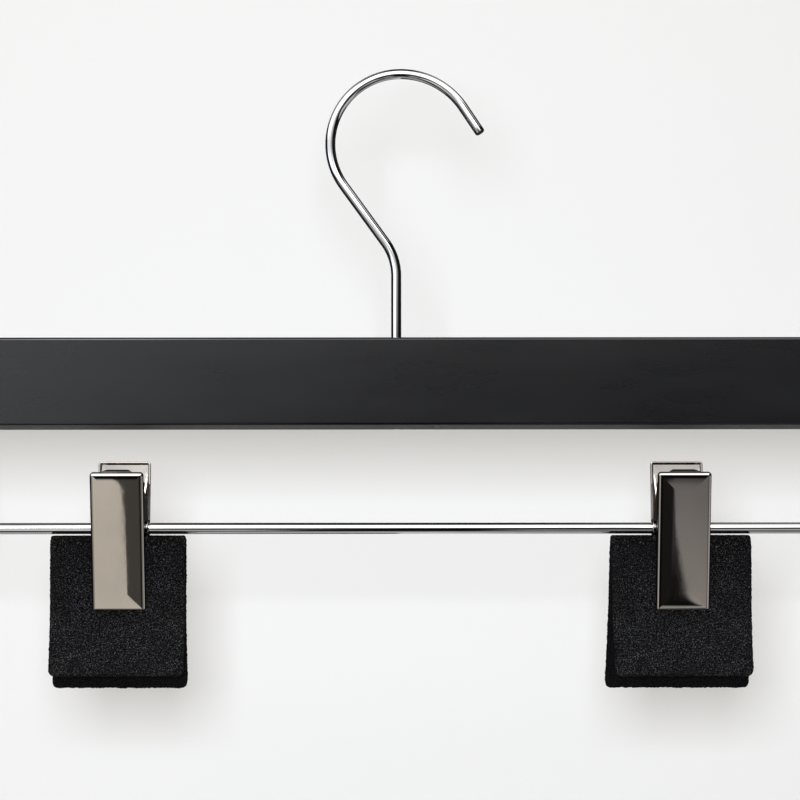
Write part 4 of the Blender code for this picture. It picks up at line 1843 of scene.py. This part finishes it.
@dataclass
class Studio:
    """Pale wall and floor, soft light, what the metal mirrors, and the camera."""

    centre: Vector
    wall_y: float = 0.26
    wall_height: float = 3.0
    floor_drop: float = 0.5
    reach: float = 3.0
    paint: float = 0.9
    mirror_radius: float = 0.9
    mirror_base: float = 0.004
    backdrop_radius: float = 6.0
    background: float = 0.92
    key_place: Place = (-0.025, -0.85, -0.061)
    key_size: float = 0.12
    key_watts: float = 5.7
    key_tint: Colour = (0.88, 0.92, 1.0)
    top_place: Place = (-0.5, -1.3, 1.6)
    top_size: float = 1.4
    top_watts: float = 12.2
    ambient: float = 0.38
    ambient_tint: Colour = (1.0, 0.94, 0.815)
    camera_place: Place = (1.4 * MM, -794.0 * MM, -121.0 * MM)
    camera_roll: float = 0.045 * DEG
    lens: float = 94.7
    sensor: float = 36.0
    clip_start: float = 0.01
    boxes: tuple[SoftBox, ...] = (
        SoftBox(1.8, (-45.0, 30.0), (20.0, 70.0), (10.0, 10.0, 10.0, 24.0)),
        SoftBox(1.8, (-85.0, -45.0), (20.0, 58.0), (10.0, 10.0, 10.0, 16.0)),
        SoftBox(1.8, (30.0, 85.0), (44.0, 70.0), (10.0, 10.0, 10.0, 24.0)),
        SoftBox(9.0, (-24.0, -14.0), (22.0, 46.0), (3.0, 7.0, 3.0, 8.0)),
        SoftBox(1.9, (-14.0, 30.0), (20.0, 46.0), (7.0, 16.0, 8.0, 8.0)),
        SoftBox(1.7, (-68.0, -20.0), (-8.0, 7.0), (8.0, 2.0, 8.0, 4.0), (0.88, 0.95, 1.0)),
        SoftBox(1.1, (-68.0, -20.0), (7.0, 24.0), (8.0, 2.0, 4.0, 6.0)),
        SoftBox(1.7, (-20.0, -14.0), (-4.0, 6.5), (2.0, 8.0, 4.0, 3.0), (0.88, 0.95, 1.0)),
        SoftBox(0.48, (-20.0, -10.0), (6.5, 23.0), (2.0, 8.0, 3.0, 4.0)),
        SoftBox(1.3, (-14.0, -2.0), (3.0, 24.0), (8.0, 22.0, 6.0, 12.0)),
        SoftBox(0.34, (-14.0, 38.0), (3.0, 24.0), (10.0, 30.0, 6.0, 12.0)),
        SoftBox(0.68, (13.0, 20.0), (7.0, 23.0), (2.0, 4.0, 3.0, 4.0)),
        SoftBox(0.84, (-31.0, -14.65), (-42.0, -14.0), (3.0, 0.15, 12.0, 3.0),
                (1.0, 0.95, 0.86)),
        SoftBox(0.45, (-62.0, -31.0), (-42.0, -14.0), (20.0, 3.0, 12.0, 3.0),
                (1.0, 0.95, 0.88)),
        SoftBox(0.085, (-14.65, -4.0), (-32.0, -14.0), (0.15, 4.0, 4.0, 3.0),
                (1.0, 0.95, 0.86)),
        SoftBox(0.45, (14.12, 34.0), (-46.0, -21.0), (0.3, 12.0, 10.0, 10.0),
                (1.0, 0.95, 0.92), 0.283, -19.0),
        SoftBox(0.55, (46.0, 95.0), (-36.0, -10.0), (6.0, 6.0, 6.0, 4.0)),
        SoftBox(0.012, (6.0, 15.0), (-42.0, -12.0), (3.0, 2.0, 6.0, 3.0)),
        SoftBox(0.12, (14.12, 34.0), (-21.0, -13.5), (0.3, 12.0, 6.0, 3.0)),
        SoftBox(0.65, (-14.65, -8.0), (-46.0, -32.0), (0.3, 3.0, 6.0, 2.5), (1.0, 0.98, 0.95)),
        SoftBox(0.42, (7.0, 18.6), (-46.0, -31.5), (3.0, 1.0, 6.0, 2.5), (1.0, 0.98, 0.95)),
        SoftBox(0.42, (-190.0, 190.0), (-100.0, -66.0), (1.0, 1.0, 1.0, 18.0)),
        SoftBox(0.45, (170.0, 190.0), (-80.0, -46.0), (3.0, 3.0, 8.0, 10.0)),
        SoftBox(0.018, (95.0, 265.0), (-70.0, 70.0), (10.0, 10.0, 10.0, 10.0)),
        SoftBox(0.34, (150.0, 198.0), (-66.0, -18.0), (8.0, 4.0, 8.0, 4.0)),
        SoftBox(0.34, (100.0, 150.0), (-66.0, -18.0), (8.0, 8.0, 8.0, 4.0)),
        SoftBox(0.34, (198.0, 260.0), (-70.0, -42.0), (4.0, 8.0, 8.0, 6.0)),
        SoftBox(0.3, (100.0, 150.0), (46.0, 76.0), (8.0, 8.0, 8.0, 8.0)),
        SoftBox(0.3, (210.0, 260.0), (26.0, 76.0), (8.0, 8.0, 6.0, 8.0)),
    )

    def build(self) -> None:
        """Set up the whole studio."""
        self._wall_and_floor()
        self._reflections()
        self._backdrop()
        self._lights()
        self._camera()

    def _wall_and_floor(self) -> None:
        """A pale wall that only its front shows, and a pale floor."""
        low = self.centre.z - self.floor_drop
        high, reach, back = low + self.wall_height, self.reach, self.wall_y
        for name, corners in (
                ("wall", [(-reach, back, low), (reach, back, low), (reach, back, high),
                          (-reach, back, high)]),
                ("floor", [(-reach, -reach, low), (reach, -reach, low), (reach, reach, low),
                           (-reach, reach, low)])):
            mesh = bpy.data.meshes.new(name)
            mesh.from_pydata(corners, [], [(0, 1, 2, 3)])
            plane = link(name, mesh)
            graph = Graph(name + "_paint")
            shown = graph.output("ShaderNodeBsdfPrincipled", None, {
                "Base Color": (self.paint, self.paint, self.paint, 1.0), "Roughness": 1.0,
                "Specular IOR Level": 0.0})
            if name == "wall":
                side = graph.output("ShaderNodeNewGeometry", socket="Backfacing")
                clear = graph.output("ShaderNodeBsdfTransparent")
                shown = graph.output("ShaderNodeMixShader", None, {0: side, 1: shown, 2: clear})
            plane.data.materials.append(graph.close(shown))
            plane.visible_glossy = False

    def _dome(self, name: str, radius: float, seen_by: Ray) -> bpy.types.Object:
        """A staged sphere round the object that one kind of ray sees.

        Args:
            name: the object's name.
            radius: of the sphere.
            seen_by: the kind of ray.

        Returns:
            The sphere.
        """
        built = bmesh.new()
        bmesh.ops.create_uvsphere(built, u_segments=96, v_segments=48, radius=radius)
        dome = link_built(name, built)
        dome.location = self.centre
        for ray in Ray:
            setattr(dome, "visible_" + ray.value, ray is seen_by)
        return dome

    @staticmethod
    def _glow(graph: Graph, colour: "Signal | Colour") -> bpy.types.Material:
        """Close a tree with a glow that adds no light of its own.

        Args:
            graph: the tree.
            colour: of the glow.

        Returns:
            The finished material.
        """
        value = colour if isinstance(colour, Signal) else (*colour, 1.0)
        material = graph.surface({
            "Base Color": (0.0, 0.0, 0.0, 1.0), "Specular IOR Level": 0.0,
            "Emission Color": value, "Emission Strength": 1.0})
        material.cycles.emission_sampling = "NONE"
        return material

    def _reflections(self) -> None:
        """A dome that only mirrored rays see, with the softboxes painted on it."""
        dome = self._dome("reflection_dome", self.mirror_radius, Ray.GLOSSY)
        graph = Graph("reflection_glow")
        east, north, up = graph.axes(graph.place())
        bearing = graph.maths("ARCTAN2", east, north * -1.0) / DEG
        height = graph.maths("ARCSINE", up / self.mirror_radius) / DEG
        total: "Signal | Colour" = (self.mirror_base,) * 3
        for box in self.boxes:
            peak = tuple(box.level * part for part in box.tint)
            glow = graph.mix(box.share(bearing, height), (0.0, 0.0, 0.0), peak)
            total = graph.vector("ADD", total, glow)
        dome.data.materials.append(self._glow(graph, total))

    def _backdrop(self) -> None:
        """A pale dome that only the camera sees."""
        dome = self._dome("pale_backdrop", self.backdrop_radius, Ray.CAMERA)
        glow = self._glow(Graph("backdrop_glow"), (self.background,) * 3)
        dome.data.materials.append(glow)

    def _area(self, name: str, place: Vector, target: Vector, size: float,
              watts: float) -> bpy.types.AreaLight:
        """An area light that mirrors don't show.

        Args:
            name: the light's name.
            place: where it stands.
            target: what it points at.
            size: of its square.
            watts: its power.

        Returns:
            The light's data.
        """
        light = bpy.data.lights.new(name, "AREA")
        light.shape = "SQUARE"
        light.size = size
        light.energy = watts
        lamp = link(name, light)
        lamp.location = place
        lamp.rotation_euler = (target - place).to_track_quat("-Z", "Y").to_euler()
        lamp.visible_camera = False
        lamp.visible_glossy = False
        return light

    def _lights(self) -> None:
        """Soft ambient light, one soft key by the camera and one soft box overhead."""
        world = bpy.data.worlds.new("studio")
        bpy.context.scene.world = world
        world.use_nodes = True
        sky = world.node_tree.nodes["Background"]
        sky.inputs["Color"].default_value = (*self.ambient_tint, 1.0)
        sky.inputs["Strength"].default_value = self.ambient
        key = Vector(self.key_place)
        lamp = self._area("key", key, Vector((key.x, 0.0, key.z)), self.key_size, self.key_watts)
        lamp.color = self.key_tint
        self._area("overhead", self.centre + Vector(self.top_place), self.centre, self.top_size,
                   self.top_watts)

    def _camera(self) -> None:
        """The photograph's viewpoint, level and square on."""
        data = bpy.data.cameras.new("camera")
        data.lens = self.lens
        data.sensor_width = self.sensor
        data.clip_start = self.clip_start
        camera = link("camera", data)
        camera.location = self.camera_place
        camera.rotation_euler = (QUARTER, self.camera_roll, 0.0)
        bpy.context.scene.camera = camera
        bpy.context.scene.view_settings.view_transform = "Standard"


def main() -> None:
    """Build, dress and hang every piece, then set the studio round them."""
    logging.basicConfig(level=logging.INFO, format="%(name)s: %(message)s")
    hook_wire = Wire(radius=1.9 * MM, end_rounding=1.0 * MM)
    rail_wire = Wire(radius=2.1 * MM)
    bar, hook, rail = Bar(), Hook(), Rail()
    stand_in(hook.build(hook_wire, bar), "hook_body", "hook", Finish.CHROME)
    stand_in(hook.build_washer(hook_wire, bar), "hook_body", "hook_washer", Finish.SPRING)
    stand_in(bar.build(hook_wire, rail_wire), "bar_body", "bar", Finish.PLASTIC)
    stand_in(rail.build(rail_wire, bar), "bar_body", "clip_rod", Finish.CHROME)
    left_foam = FoamStrip(width=50.4 * MM, shift=-0.8 * MM, front_lean=-0.35 * MM,
                          rear_lean=-0.35 * MM, front_flare=0.0, rear_flare=0.3 * MM)
    right_foam = FoamStrip(width=52.4 * MM, shift=-0.1 * MM, front_lean=0.8 * MM,
                           rear_lean=-0.5 * MM, front_flare=-0.5 * MM, rear_flare=1.0 * MM)
    Clip(hand="left", x=-104.0 * MM, foam=left_foam).build(rail.level(bar))
    Clip(hand="right", x=107.2 * MM, foam=right_foam).build(rail.level(bar))
    Studio(centre=Vector((0.0, 0.0, -120.9 * MM))).build()


if __name__ == "__main__":
    main()
